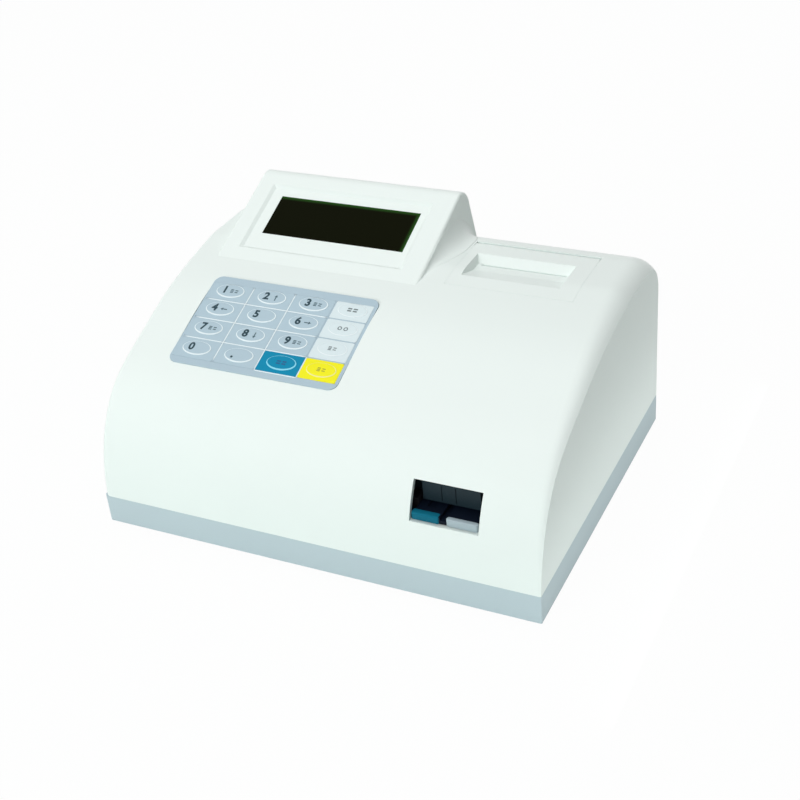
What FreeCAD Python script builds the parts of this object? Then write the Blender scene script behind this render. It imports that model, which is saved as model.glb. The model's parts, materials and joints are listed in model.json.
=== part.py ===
import FreeCAD, Part
import math
import os
import re

import Sketcher

# Bench urine analyzer: a moulded cover with a raised display pod, a keypad, a strip port with a
# motor-driven tray, and a small thermal printer under a hinged lid. Millimetres. X is to the right,
# Y to the rear, Z up, and the origin is on the bench at the middle of the footprint.

V = FreeCAD.Vector

SIZES = {
         # housing
         "body_width": 304.0, "body_depth": 234.0, "foot_gap": 1.5, "plinth_height": 20.0,
         "wall": 3.0, "floor_thick": 2.5, "front_radius": 2.5, "left_radius": 5.0,
         "crease_overhang": 5.0, "crease_front": 7.0, "crease_rear": 19.0,
         "inner_front": 3.0, "inner_rear": 12.0, "inner_corner": 8.0,
         "crown_height": 132.2, "rear_top_radius": 30.0, "above_all": 150.0, "below_lid": 105.0,
         "post_radius": 5.0, "post_span_x": 290.0, "post_span_y": 200.0, "boss_height": 24.0,
         "screw_radius": 1.98, "screw_hole_radius": 2.0, "screw_head_radius": 3.6, "screw_head_height": 2.5,
         "screw_length": 34.0,
         "foot_radius": 8.0, "foot_span_x": 250.0, "foot_span_y": 190.0,
         # display pod, measured on its own sloping plane from the foot of its left edge
         "pod_left": -134.0, "pod_width": 151.5, "pod_foot_y": 27.0, "pod_foot_height": 128.9,
         "pod_tilt": 22.0, "pod_length": 90.6, "pod_wall": 3.0, "pod_lead": 18.0, "pod_depth": 60.0,
         "pod_draft": 7.0, "pod_rear_lean": 5.7, "pod_side_radius": 2.0, "pod_crest_radius": 9.5,
         "pod_floor_height": 106.0,
         "recess_left": 12.5, "recess_low": 9.0, "recess_width": 123.5, "recess_length": 60.0,
         "recess_depth": 1.5,
         "window_left": 23.0, "window_low": 24.8, "window_width": 107.0, "window_length": 35.2,
         "window_gap": 0.1, "window_flange": 3.0, "window_thick": 1.5, "flange_thick": 1.0,
         "module_margin": 8.0, "module_thick": 7.0, "glass_thick": 2.0, "display_board_thick": 1.6,
         # keypad, measured on its own sloping plane from its lower left corner
         "pad_left": -120.4, "pad_low_y": -66.2, "pad_low_height": 99.1, "pad_tilt": 19.9,
         "pad_width": 122.2, "pad_length": 75.4, "pad_radius": 6.0, "pad_gap": 0.15,
         "pad_proud": 1.0, "overlay_thick": 1.6, "key_board_thick": 0.8, "shelf_thick": 3.0,
         "key_u_0": 1.0, "key_u_1": 31.7, "key_u_2": 62.8, "key_u_3": 93.0, "key_u_4": 120.4,
         "key_v_0": 4.6, "key_v_1": 21.5, "key_v_2": 38.4, "key_v_3": 54.9, "key_v_4": 70.0,
         "key_bar": 0.8, "key_gap": 0.2, "key_thick": 1.1,
         # strip port and tray
         "port_left": 68.5, "port_right": 112.5, "port_low": 51.5, "port_high": 74.5, "port_depth": 30.0,
         "tray_left": 70.5, "tray_right": 110.5, "tray_front": -109.0, "tray_rear": 51.0,
         "deck_low": 52.5, "deck_thick": 2.0, "plate_thick": 2.3,
         "tongue_front": -30.0, "tongue_thick": 1.2, "tongue_reach": 1.7, "tongue_gap": 0.08,
         "strip_plate_width": 17.0, "strip_groove_left": 76.0, "strip_groove_width": 5.4,
         "strip_plate_length": 119.0,
         "reference_left": 92.0, "reference_length": 24.0,
         "side_plate_thick": 6.2, "side_plate_front": -100.0, "side_plate_rear": 60.0,
         "side_plate_top": 60.0,
         "side_gap": 0.3,
         "gear_module": 1.0, "pinion_teeth": 16.0, "pinion_y": -25.0, "rack_left": 88.0, "rack_width": 5.0,
         "rack_front": -34.0, "rack_teeth": 27.0, "rack_top": 52.5, "rack_pitch_z": 49.4, "mesh_gap": 0.1,
         "pinion_bore": 2.0, "tray_shaft_radius": 2.0, "bush_gap": 0.03,
         "tray_motor_radius": 14.0, "tray_motor_length": 20.0, "tray_shaft_start": 56.0,
         # reader
         "reader_front": -90.0, "reader_rear": -35.0, "reader_height": 20.0,
         "nose_left": 72.0, "nose_right": 109.0, "nose_low": 58.5, "nose_high": 71.5, "nose_reach": 7.0,
         "lens_radius": 5.0, "lens_length": 6.0, "seam_width": 0.6,
         # printer and its lid
         "lid_left": 34.0, "lid_right": 121.0, "lid_front": 31.0, "lid_rear": 88.0, "lid_gap": 0.35,
         "scoop_left": 41.0, "scoop_right": 109.0, "scoop_front": 38.0, "scoop_rear": 72.0,
         "scoop_depth": 5.2,
         "scoop_floor_front": 58.0, "scoop_floor_rear": 67.0, "scoop_side_slope": 2.0,
         "slot_half": 29.5, "slot_width": 1.6, "barrel_radius": 2.5, "barrel_gap": 0.5,
         "hinge_pin_radius": 1.0,
         "bracket_width": 5.0, "bracket_drop": 3.2, "bracket_half": 3.5,
         "bay_left": 31.0, "bay_right": 124.0, "bay_front": 28.0, "bay_rear": 92.0, "bay_low": 76.0,
         "bay_top": 122.0, "bay_wall": 2.0, "leg_size": 6.0,
         "roll_y": 49.5, "roll_z": 98.0, "roll_radius": 15.0, "roll_half_width": 28.5, "core_radius": 7.0,
         "spindle_radius": 5.0, "printer_mid": 75.0,
         "platen_y": 74.0, "platen_z": 113.0, "platen_radius": 4.0, "platen_shaft_radius": 1.5,
         "platen_half": 29.0,
         "frame_half": 34.0, "frame_thick": 1.5, "head_thick": 1.6, "head_gap": 0.3,
         "printer_module": 0.8, "platen_teeth": 16.0, "idler_teeth": 20.0, "motor_teeth": 12.0,
         "printer_gear_width": 3.0, "printer_gear_x": 111.5, "printer_motor_radius": 7.5,
         "printer_motor_length": 30.0,
         # electronics and rear panel
         "board_left": -135.0, "board_right": 30.0, "board_front": -95.0, "board_rear": 20.0,
         "board_z": 12.0,
         "board_thick": 1.6,
         "panel_left": -136.0, "panel_right": -8.0, "panel_low": 27.0, "panel_high": 75.0,
         "panel_thick": 2.0,
         "panel_lip": 4.0, "device_z": 51.0,
         "inlet_x": -113.0, "inlet_width": 28.0, "inlet_height": 20.0, "inlet_depth": 22.0,
         "switch_x": -80.0, "switch_width": 13.0, "switch_height": 19.0, "switch_depth": 16.0,
         "rocker_tilt": 9.0,
         "fuse_x": -56.0, "fuse_radius": 6.0, "serial_x": -30.0, "serial_width": 31.0,
         "serial_height": 12.5,
         "vent_width": 2.4, "vent_length": 26.0, "vent_pitch": 7.0, "vent_first_x": 44.0, "vent_low": 42.0,
         "transformer_left": -124.0, "transformer_right": -72.0, "transformer_front": 28.0,
         "transformer_rear": 78.0,
         "transformer_height": 44.0,
         }

# Side profile of the cover as (distance behind the front, height above the plinth's foot).
CROWN_POINTS = ((0.0, 20.0), (3.8, 44.0), (13.1, 67.4), (32.0, 89.2), (66.0, 105.5), (110.8, 121.6),
                (160.0, 131.2))
VENT_COUNT = 12
CORNERS = ((-1, -1), (1, -1), (1, 1), (-1, 1))
# What stands on the main board, each as (x, y, width, depth, height) from the board's corner.
CHIPS = ((30, 30, 24, 24, 1.6), (70, 20, 18, 10, 2.5), (70, 45, 30, 12, 3.0),
         (115, 25, 12, 30, 6.0), (20, 80, 14, 14, 9.0), (50, 84, 10, 10, 12.0))
# The lid turns about a pin inside its own rear edge, which is a barrel flush with the cover's top.
HINGE_Y = "lid_rear - barrel_gap - barrel_radius"
HINGE_Z = "foot_gap + crown_height - barrel_radius"
KEY_NAMES = (
             ("key_0", "key_plain", "key_blue", "key_yellow"),
             ("key_7", "key_8", "key_9", "key_pale_lower"),
             ("key_4", "key_5", "key_6", "key_pale_middle"),
             ("key_1", "key_2", "key_3", "key_pale_upper"),
             )

doc = FreeCAD.newDocument("urine_analyzer")
sheet = doc.addObject("Spreadsheet::Sheet", "Sizes")
nodes = []


def fill_sheet():
    """Writes each driving dimension in the sheet as plain text with its alias."""
    for row, (alias, amount) in enumerate(SIZES.items(), start=1):
        sheet.set("A%d" % row, alias)
        sheet.set("B%d" % row, repr(amount))
        sheet.setAlias("B%d" % row, alias)
    doc.recompute()


def size(alias):
    """The number in the sheet's cell of that alias."""
    return float(sheet.get(alias))


def bound(text):
    """The expression with every alias written as a cell of the sheet."""
    return re.sub(r"[A-Za-z_]\w*",
                  lambda word: "Sizes." + word.group() if word.group() in SIZES else word.group(),
                  str(text))


def bind(item, **expressions):
    """Binds properties of an object to expressions of the sheet's aliases."""
    for prop, text in expressions.items():
        item.setExpression(prop, bound(text))
    return item


def move(item, x=0, y=0, z=0):
    """Binds the place of an object to three expressions."""
    for axis, text in zip("xyz", (x, y, z)):
        item.setExpression("Placement.Base." + axis, bound(text))
    return item


def node(item, label):
    """Takes an object as a finished sub-part under its own label."""
    item.Label = label
    nodes.append(item)
    return item


def box(name, x, y, z):
    """A block between two expressions along each axis."""
    block = doc.addObject("Part::Box", name)
    bind(block, Length="(%s) - (%s)" % (x[1], x[0]), Width="(%s) - (%s)" % (y[1], y[0]),
         Height="(%s) - (%s)" % (z[1], z[0]))
    return move(block, x[0], y[0], z[0])


TURNS = {"x": FreeCAD.Rotation(V(0, 1, 0), 90), "y": FreeCAD.Rotation(V(1, 0, 0), -90),
         "z": FreeCAD.Rotation()}


def rod(name, along, radius, length, x=0, y=0, z=0):
    """A cylinder that starts at a place and runs along one axis."""
    cylinder = doc.addObject("Part::Cylinder", name)
    cylinder.Placement = FreeCAD.Placement(V(), TURNS[along])
    bind(cylinder, Radius=radius, Height=length)
    return move(cylinder, x, y, z)


def fuse(name, parts):
    """One solid out of several."""
    joined = doc.addObject("Part::MultiFuse", name)
    joined.Shapes = parts
    joined.Refine = True
    return joined


def group(name, parts):
    """Several separate solids in one sub-part."""
    together = doc.addObject("Part::Compound", name)
    together.Links = parts
    return together


def common(name, first, second):
    """What two solids share."""
    shared = doc.addObject("Part::MultiCommon", name)
    shared.Shapes = [first, second]
    return shared


def cut(name, base, tools):
    """A solid with one tool or several taken away."""
    result = doc.addObject("Part::Cut", name)
    result.Base = base
    result.Tool = tools[0] if len(tools) == 1 else fuse(name + "_tools", tools)
    return result


def fillet(name, base, radii, wanted):
    """Rounds the edges that the test wants, from the first radius to the second along each edge."""
    doc.recompute()
    rounded = doc.addObject("Part::Fillet", name)
    rounded.Base = base
    rounded.Edges = [(i, radii[0], radii[1]) for i,
                     edge in enumerate(base.Shape.Edges, start=1) if wanted(edge)]
    return rounded


def origin_plane(body, role):
    """The origin plane of a body that has this role."""
    return next(item for item in body.Origin.OriginFeatures if item.Role == role)


def new_sketch(body, name, role):
    """A sketch on one of the body's own origin planes."""
    sketch = body.newObject("Sketcher::SketchObject", name)
    sketch.AttachmentSupport = [(origin_plane(body, role), "")]
    sketch.MapMode = "FlatFace"
    return sketch


def closed_outline(sketch, points, bounds=()):
    """Joins points with straight lines, and binds the place of the first ones to expressions."""
    lines = [Part.LineSegment(V(*points[i], 0),
                              V(*points[(i + 1) % len(points)], 0)) for i in range(len(points))]
    first = sketch.addGeometry(lines, False)[0]
    for i in range(len(points)):
        sketch.addConstraint(Sketcher.Constraint("Coincident", first + i, 2, first + (i + 1) % len(points),
                                                 1))
    for i, (across, up) in enumerate(bounds):
        for kind, text, start in (("DistanceX", across, points[i][0]), ("DistanceY", up, points[i][1])):
            number = sketch.addConstraint(Sketcher.Constraint(kind, -1, 1, first + i, 1, start))
            sketch.setExpression("Constraints[%d]" % number, bound(text))


def pad(body, sketch, length, symmetric=False):
    """Thickens a sketch by an expression, to one side or to both."""
    feature = body.newObject("PartDesign::Pad", sketch.Name + "_pad")
    feature.Profile = sketch
    feature.SideType = "Symmetric" if symmetric else "One side"
    bind(feature, Length=length)
    return feature


def plate(name, width, length, thick, radius):
    """A rounded plate with its lower left corner at the origin of its own frame."""
    body = doc.addObject("PartDesign::Body", name)
    sketch = new_sketch(body, name + "_outline", "XY_Plane")
    closed_outline(sketch, [(0, 0), (40, 0), (40, 30), (0, 30)],
                   [("0", "0"), (width, "0"), (width, length), ("0", length)])
    block = pad(body, sketch, thick)
    doc.recompute()
    corners = ["Edge%d" % i for i, edge in enumerate(block.Shape.Edges, start=1)
               if abs(edge.tangentAt(edge.FirstParameter).z) > 0.99]
    rounded = body.newObject("PartDesign::Fillet", name + "_corners")
    rounded.Base = (block, corners)
    bind(rounded, Radius=radius)
    body.Tip = rounded
    return body


def pod_frame(lift=0.0):
    """The pod's sloping plane: X along its width, Y up the slope, Z out of the plane."""
    turn = FreeCAD.Rotation(V(1, 0, 0), size("pod_tilt"))
    place = V(size("pod_left"), size("pod_foot_y"), size("pod_foot_height") + size("foot_gap"))
    return FreeCAD.Placement(place + turn.multVec(V(0, 0, lift)), turn)


def pad_frame(lift=0.0):
    """The keypad's sloping plane, in the same way."""
    turn = FreeCAD.Rotation(V(1, 0, 0), size("pad_tilt"))
    place = V(size("pad_left"), size("pad_low_y"), size("pad_low_height") + size("foot_gap"))
    return FreeCAD.Placement(place + turn.multVec(V(0, 0, lift)), turn)


def in_frame(name, parts, frame):
    """Parts built in a sloping frame's own axes, joined and put in that frame."""
    joined = fuse(name, parts) if len(parts) > 1 else group(name, parts)
    joined.Placement = frame
    return joined


def crown_curve(inset):
    """The side profile as a smooth curve, moved inwards by the inset, in the YZ plane of a sketch."""
    front, lift = -size("body_depth") / 2, size("foot_gap")
    arc_start = size("body_depth") - size("rear_top_radius")
    points = [V(front + y, lift + z, 0) for y, z in CROWN_POINTS + ((arc_start, size("crown_height")),)]
    curve = Part.BSplineCurve()
    curve.interpolate(Points=points, InitialTangent=V(0.05, 1, 0), FinalTangent=V(1, 0, 0))
    if inset == 0:
        return curve
    moved = []
    for point in points:
        tangent = curve.tangent(curve.parameter(point))[0]
        moved.append(point + V(tangent.y, -tangent.x, 0) * inset)
    inner = Part.BSplineCurve()
    inner.interpolate(Points=moved, InitialTangent=V(0.05, 1, 0), FinalTangent=V(1, 0, 0))
    return inner


def crown_body(name, inset, low, width):
    """The cover's long body: its side profile carried across the width."""
    body = doc.addObject("PartDesign::Body", name)
    sketch = new_sketch(body, name + "_profile", "YZ_Plane")
    curve = crown_curve(inset)
    front, back = curve.StartPoint, curve.EndPoint
    rear = size("body_depth") / 2 - inset
    radius = rear - back.x
    corner = V(rear, back.y - radius, 0)
    half = math.sqrt(0.5)
    middle = V(back.x + radius * half, back.y - radius * (1 - half), 0)
    sketch.addGeometry([curve, Part.Arc(back, middle, corner),
                        Part.LineSegment(corner, V(rear, low, 0)),
                        Part.LineSegment(V(rear, low, 0), V(front.x, low, 0))], False)
    if abs(front.y - low) > 1e-6:
        sketch.addGeometry(Part.LineSegment(V(front.x, low, 0), front), False)
    pad(body, sketch, width, symmetric=True)
    return body


def pod_wedge(name, inset, grow):
    """A block with drafted side walls, whose small face lies in the pod's plane, moved in by the inset."""
    wedge = doc.addObject("Part::Wedge", name)
    deep, width = size("pod_depth"), size("pod_width")
    rate = math.tan(math.radians(size("pod_draft")))
    near, far = inset - rate * (inset - grow), inset - rate * deep
    # the wedge tapers along its own Y, which is turned to point down into the pod
    wedge.Ymin, wedge.Ymax = inset - grow, deep
    wedge.Xmin, wedge.Xmax, wedge.X2min, wedge.X2max = near, width - near, far, width - far
    wedge.Zmin, wedge.Z2min = -size("pod_lead") - grow, -size("pod_lead") - grow
    wedge.Zmax, wedge.Z2max = 2 * size("pod_length"), 2 * size("pod_length")
    wedge.Placement = pod_frame().multiply(FreeCAD.Placement(V(), FreeCAD.Rotation(V(1, 0, 0), -90)))
    return wedge


def pod_body(name, inset):
    """The display pod: its side outline carried across, with drafted side walls, in by the inset."""
    body = doc.addObject("PartDesign::Body", name + "_block")
    sketch = new_sketch(body, name + "_outline", "YZ_Plane")
    slope, lean = math.tan(math.radians(size("pod_tilt"))), math.tan(math.radians(size("pod_rear_lean")))
    foot_y, foot_z = size("pod_foot_y"), size("pod_foot_height") + size("foot_gap")
    low, lead = size("pod_floor_height"), size("pod_lead")
    drop = inset / math.cos(math.radians(size("pod_tilt")))
    corner_y = foot_y + size("pod_length") * math.cos(math.radians(size("pod_tilt")))
    corner_z = foot_z + (corner_y - foot_y) * slope
    # the inner rear wall is the outer one moved in, and it meets the inner face further down
    back = inset / math.cos(math.radians(size("pod_rear_lean")))
    crest_y = (corner_y - back + lean * (corner_z - foot_z + drop + foot_y * slope)) / (1 + lean * slope)
    crest_z = foot_z + (crest_y - foot_y) * slope - drop
    rear_y = crest_y + (crest_z - low) * lean
    closed_outline(sketch, [(foot_y - lead, low), (foot_y - lead, foot_z - lead * slope - drop),
                            (crest_y, crest_z), (rear_y, low)])
    pad(body, sketch, "2 * pod_width", symmetric=True)
    body.Placement = FreeCAD.Placement(V(size("pod_left") + size("pod_width") / 2, 0, 0),
                                       FreeCAD.Rotation())
    return common(name, body, pod_wedge(name + "_draft", inset, 1.0))


def on_pod_side(edge):
    """Whether an edge lies in one of the pod's drafted side walls, above the crown's inside."""
    local = pod_frame().inverse().multVec(edge.CenterOfMass)
    spread = -local.z * math.tan(math.radians(size("pod_draft")))
    off = min(abs(local.x + spread), abs(local.x - size("pod_width") - spread))
    return off < 0.02 and edge.BoundBox.ZMin > size("pod_floor_height") - 1 and \
        edge.BoundBox.ZMax > size("pod_floor_height") + 22


def crest_rounded(name, pod, radius):
    """The pod with its top edge along X rounded."""
    return fillet(name + "_crest", pod, (radius,) * 2,
                  lambda edge: abs(edge.tangentAt(edge.FirstParameter).x) > 0.99
                  and edge.CenterOfMass.z > size("crown_height") + 10)


def outer_form():
    """The closed outer form of the cover: the crown and the pod, with their edges rounded.

    The right edge is a round whose last part the side plane cuts off, so the two meet in a crease.
    """
    crown = crown_body("crown_outer", 0, size("foot_gap") + size("plinth_height"),
                       "body_width + 2 * crease_overhang")
    half = size("body_width") / 2
    wide = half + size("crease_overhang")
    round_right = fillet("crown_rounded_right", crown, (size("crease_front"), size("crease_rear")),
                         lambda edge: edge.Curve.TypeId == "Part::GeomBSplineCurve"
                         and abs(edge.CenterOfMass.x - wide) < 0.01)
    trimmed = common("crown_trimmed", round_right, side_span("crown_span"))
    round_crown = fillet("crown_rounded_left", trimmed, (size("front_radius"), size("left_radius")),
                         lambda edge: edge.Curve.TypeId == "Part::GeomBSplineCurve"
                         and abs(edge.CenterOfMass.x + half) < 0.01)
    pod = crest_rounded("pod_outer", pod_body("pod_outer", 0), size("pod_crest_radius"))
    return round_crown, fillet("pod_sides", pod, (size("pod_side_radius"),) * 2, on_pod_side)


def side_span(name):
    """A block that holds all that lies between the two side planes."""
    return box(name, ("-body_width / 2", "body_width / 2"), ("-body_depth", "body_depth"), ("0", "above_all"))


def build_housing():
    """The cover, its lid and the base tray."""
    round_crown, round_pod = outer_form()
    seam = size("foot_gap") + size("plinth_height")
    inside_x = size("body_width") / 2 - size("wall")
    crown_inner = fillet("crown_inner_rounded",
                         crown_body("crown_inner", size("wall"), seam - 1, "body_width - 2 * wall"),
                         (size("inner_front"), size("inner_rear")),
                         lambda edge: edge.Curve.TypeId == "Part::GeomBSplineCurve"
                         and abs(edge.CenterOfMass.x - inside_x) < 0.01)
    pod_inner = crest_rounded("pod_inner", pod_body("pod_inner", size("pod_wall")),
                              size("pod_crest_radius") - size("pod_wall"))
    half_depth = "body_depth / 2"
    seat = "pad_proud - overlay_thick - key_board_thick"
    shelf = in_frame("keypad_shelf",
                     [box("shelf_block", ("-wall", "pad_width + wall"), ("-wall", "pad_length + wall"),
                          (seat + " - shelf_thick", seat + " + 1"))], pad_frame())
    bosses = [rod("boss_%d" % i, "z", "post_radius", "boss_height", "%d * post_span_x / 2" % sx,
                  "%d * post_span_y / 2" % sy, "foot_gap + plinth_height")
              for i, (sx, sy) in enumerate(CORNERS)]
    skin = cut("cover_skin", fuse("cover_block", [round_crown, round_pod]), [crown_inner, pod_inner])
    bracket_spans = (("lid_left - bracket_width", "lid_left"), ("lid_right", "lid_right + bracket_width"))
    brackets = [common("bracket_%d" % i,
                       box("bracket_block_%d" % i, span,
                           (HINGE_Y + " - bracket_half", HINGE_Y + " + bracket_half"),
                           (HINGE_Z + " - bracket_drop", "above_all")), round_crown)
                for i, span in enumerate(bracket_spans)]
    pin_seat = rod("pin_seat", "x", "hinge_pin_radius", "lid_right - lid_left + 2 * bracket_width - 1",
                   "lid_left - bracket_width + 0.5", HINGE_Y, HINGE_Z)
    body = fuse("cover_with_bosses", [skin, common("shelf_inside", shelf, round_crown)] + bosses + brackets)
    pocket = plate("keypad_pocket", "pad_width + 2 * pad_gap", "pad_length + 2 * pad_gap", "12",
                   "pad_radius")
    pocket.Placement = pad_frame(size("pad_proud") - size("overlay_thick") - size("key_board_thick"))
    pocket.Placement.Base = pocket.Placement.Base - V(size("pad_gap"), 0, 0)
    ribbon_slot = in_frame("ribbon_slot",
                           [box("ribbon_slot_block", ("pad_width / 3", "2 * pad_width / 3"), ("60", "66"),
                                ("-12", "4"))],
                           pad_frame())
    recess = recess_tool()
    window = in_frame("window_opening", [box("window_block", ("window_left", "window_left + window_width"),
                                             ("window_low", "window_low + window_length"), ("-12", "4"))],
                      pod_frame())
    port = box("port_opening", ("port_left", "port_right"),
               ("-body_depth / 2 - 1", "-body_depth / 2 + port_depth"), ("port_low", "port_high"))
    lid_opening = box("lid_opening", ("lid_left", "lid_right"), ("lid_front", "lid_rear"),
                      ("below_lid", "above_all"))
    panel_opening = box("panel_opening", ("panel_left + panel_lip", "panel_right - panel_lip"),
                        (half_depth + " - 2 * wall", half_depth + " + 1"),
                        ("panel_low + panel_lip", "panel_high - panel_lip"))
    vent_starts = ["vent_first_x + %d * vent_pitch" % i for i in range(VENT_COUNT)]
    vents = [box("vent_%d" % i, (start, start + " + vent_width"),
                 (half_depth + " - 2 * wall", half_depth + " + 1"),
                 ("vent_low", "vent_low + vent_length")) for i, start in enumerate(vent_starts)]
    holes = [rod("boss_hole_%d" % i, "z", "screw_hole_radius", "screw_length - screw_head_height",
                 "%d * post_span_x / 2" % sx, "%d * post_span_y / 2" % sy, "foot_gap + screw_head_height")
             for i, (sx, sy) in enumerate(CORNERS)]
    cover = cut("cover_cut", body,
                [pocket, ribbon_slot, recess, window, port, lid_opening, panel_opening, pin_seat]
                + vents + holes)
    node(cover, "upper_cover")
    build_lid(round_crown, crown_inner)
    build_base()


def recess_tool():
    """The shallow bevelled recess around the window, as a tapered block above the pod's plane."""
    wedge = doc.addObject("Part::Wedge", "recess_wedge")
    depth, bevel = size("recess_depth"), size("recess_depth") * 1.6
    left, low = size("recess_left"), size("recess_low")
    right, high = left + size("recess_width"), low + size("recess_length")
    # the wedge tapers along its own Y, which is turned to point down into the plane
    wedge.Xmin, wedge.Xmax, wedge.Zmin, wedge.Zmax = left - bevel, right + bevel, low - bevel, high + bevel
    wedge.Ymin, wedge.Ymax = -depth, depth
    wedge.X2min, wedge.X2max = left + bevel, right - bevel
    wedge.Z2min, wedge.Z2max = low + bevel, high - bevel
    wedge.Placement = pod_frame().multiply(FreeCAD.Placement(V(), FreeCAD.Rotation(V(1, 0, 0), -90)))
    return wedge


def scoop_tool():
    """The trough in the lid: a long slope at the front, a flat floor and a steep wall behind it."""
    wedge = doc.addObject("Part::Wedge", "scoop_wedge")
    top, deep, above = size("crown_height") + size("foot_gap"), size("scoop_depth"), 1.5

    def spread(at_top, at_floor):
        return at_top - (at_floor - at_top) * above / deep

    # the wedge tapers along its own Y, which is turned to point down, so its Z runs to the rear
    left, right, slope = size("scoop_left"), size("scoop_right"), size("scoop_side_slope")
    front, rear = size("scoop_front"), size("scoop_rear")
    wedge.Ymin, wedge.Ymax = -above, deep
    wedge.Xmin, wedge.Xmax = spread(left, left + slope), spread(right, right - slope)
    wedge.X2min, wedge.X2max = left + slope, right - slope
    floor_front, floor_rear = size("scoop_floor_front"), size("scoop_floor_rear")
    wedge.Zmin, wedge.Zmax = spread(front, floor_front), spread(rear, floor_rear)
    wedge.Z2min, wedge.Z2max = floor_front, floor_rear
    wedge.Placement = FreeCAD.Placement(V(0, 0, top), FreeCAD.Rotation(V(1, 0, 0), -90))
    return wedge


def build_lid(round_crown, crown_inner):
    """The printer lid: a piece of the cover's own skin, with a scoop, a paper slot and knuckles."""
    zone = box("lid_zone", ("lid_left + lid_gap", "lid_right - lid_gap"), ("lid_front + lid_gap", HINGE_Y),
               ("below_lid", "above_all"))
    skin = common("lid_skin", cut("lid_shell", round_crown, [crown_inner]), zone)
    trough = common("lid_trough", box("trough_block", ("scoop_left - 2", "scoop_right + 2"),
                                      ("scoop_front + 4", "scoop_rear + 2"),
                                      ("crown_height + foot_gap - scoop_depth - wall", "above_all")),
                    round_crown)
    barrel = common("lid_barrel",
                    rod("barrel_rod", "x", "barrel_radius", "lid_right - lid_left - 2 * lid_gap",
                        "lid_left + lid_gap", HINGE_Y, HINGE_Z), round_crown)
    body = fuse("lid_body", [skin, trough, barrel])
    slot = box("paper_slot", ("printer_mid - slot_half", "printer_mid + slot_half"),
               ("scoop_floor_rear - slot_width", "scoop_floor_rear"), ("110", "crown_height"))
    pin_hole = rod("lid_pin_hole", "x", "hinge_pin_radius + bush_gap", "120", "20", HINGE_Y, HINGE_Z)
    node(cut("lid_cut", body, [scoop_tool(), slot, pin_hole]), "printer_lid")


def build_base():
    """The base tray with posts, its feet and the case screws."""
    body = doc.addObject("PartDesign::Body", "base_body")
    sketch = new_sketch(body, "base_outline", "XY_Plane")
    half_x, half_y = "body_width / 2", "body_depth / 2"
    closed_outline(sketch, [(-40, -30), (40, -30), (40, 30), (-40, 30)],
                   [("-" + half_x, "-" + half_y), (half_x + " + crease_overhang", "-" + half_y),
                    (half_x + " + crease_overhang", half_y), ("-" + half_x, half_y)])
    pad(body, sketch, "plinth_height")
    body.Placement = FreeCAD.Placement(V(0, 0, size("foot_gap")), FreeCAD.Rotation())
    rounded = body
    for place, x_sign, y_sign, radius in (("front_left", -1, -1, "front_radius"),
                                          ("front_right", 1, -1, "crease_front"),
                                          ("rear_left", -1, 1, "left_radius"),
                                          ("rear_right", 1, 1, "crease_rear")):
        rounded = fillet("base_" + place, rounded, (size(radius),) * 2,
                         lambda edge: edge.Curve.TypeId == "Part::GeomLine"
                         and abs(edge.tangentAt(edge.FirstParameter).z) > 0.99
                         and x_sign * edge.CenterOfMass.x > size("body_width") / 2 - 0.01
                         and y_sign * edge.CenterOfMass.y > size("body_depth") / 2 - 0.01)
    rounded = common("base_trimmed", rounded, side_span("base_span"))
    hollow = box("base_hollow", ("-body_width / 2 + wall", "body_width / 2 - wall"),
                 ("-body_depth / 2 + wall", "body_depth / 2 - wall"),
                 ("foot_gap + floor_thick", "foot_gap + plinth_height + 1"))
    hollow = fillet("base_hollow_rounded", hollow, (size("inner_corner"),) * 2,
                    lambda edge: abs(edge.tangentAt(edge.FirstParameter).z) > 0.99
                    and edge.CenterOfMass.x > 0 and edge.CenterOfMass.y > 0)
    shell = cut("base_shell", rounded, [hollow])
    posts, holes, screws, feet = [], [], [], []
    for i, (sx, sy) in enumerate(CORNERS):
        at = ("%d * post_span_x / 2" % sx, "%d * post_span_y / 2" % sy)
        posts.append(rod("post_%d" % i, "z", "post_radius", "plinth_height", *at, "foot_gap"))
        holes.append(rod("post_hole_%d" % i, "z", "screw_hole_radius + 0.2", "40", *at, "0"))
        holes.append(rod("post_sink_%d" % i, "z", "screw_head_radius + 0.2", "screw_head_height + 2", *at,
                         "foot_gap - 2"))
        head = rod("screw_head_%d" % i, "z", "screw_head_radius", "screw_head_height", *at, "foot_gap")
        shank = rod("screw_shank_%d" % i, "z", "screw_radius", "screw_length - 2", *at, "foot_gap")
        cross = box("screw_cross_%d" % i, (at[0] + " - 2", at[0] + " + 2"),
                    (at[1] + " - 0.4", at[1] + " + 0.4"),
                    ("foot_gap - 1", "foot_gap + 1.2"))
        screws.append(cut("screw_%d" % i, fuse("screw_solid_%d" % i, [head, shank]), [cross]))
        feet.append(rod("foot_%d" % i, "z", "foot_radius", "foot_gap", "%d * foot_span_x / 2" % sx,
                        "%d * foot_span_y / 2" % sy, "0"))
    spacers = [rod("board_spacer_%d" % i, "z", "3", "board_z - foot_gap", x, y, "foot_gap")
               for i, (x, y) in enumerate((a, b) for a in ("board_left + 6", "board_right - 6")
                                          for b in ("board_front + 6", "board_rear - 6"))]
    trimmed = common("base_posts_inside", fuse("base_posts", posts), rounded)
    node(cut("base_cut", fuse("base_with_posts", [shell, trimmed] + spacers), holes), "base_tray")
    node(group("screw_group", screws), "case_screws")
    node(group("foot_group", feet), "rubber_feet")


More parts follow.
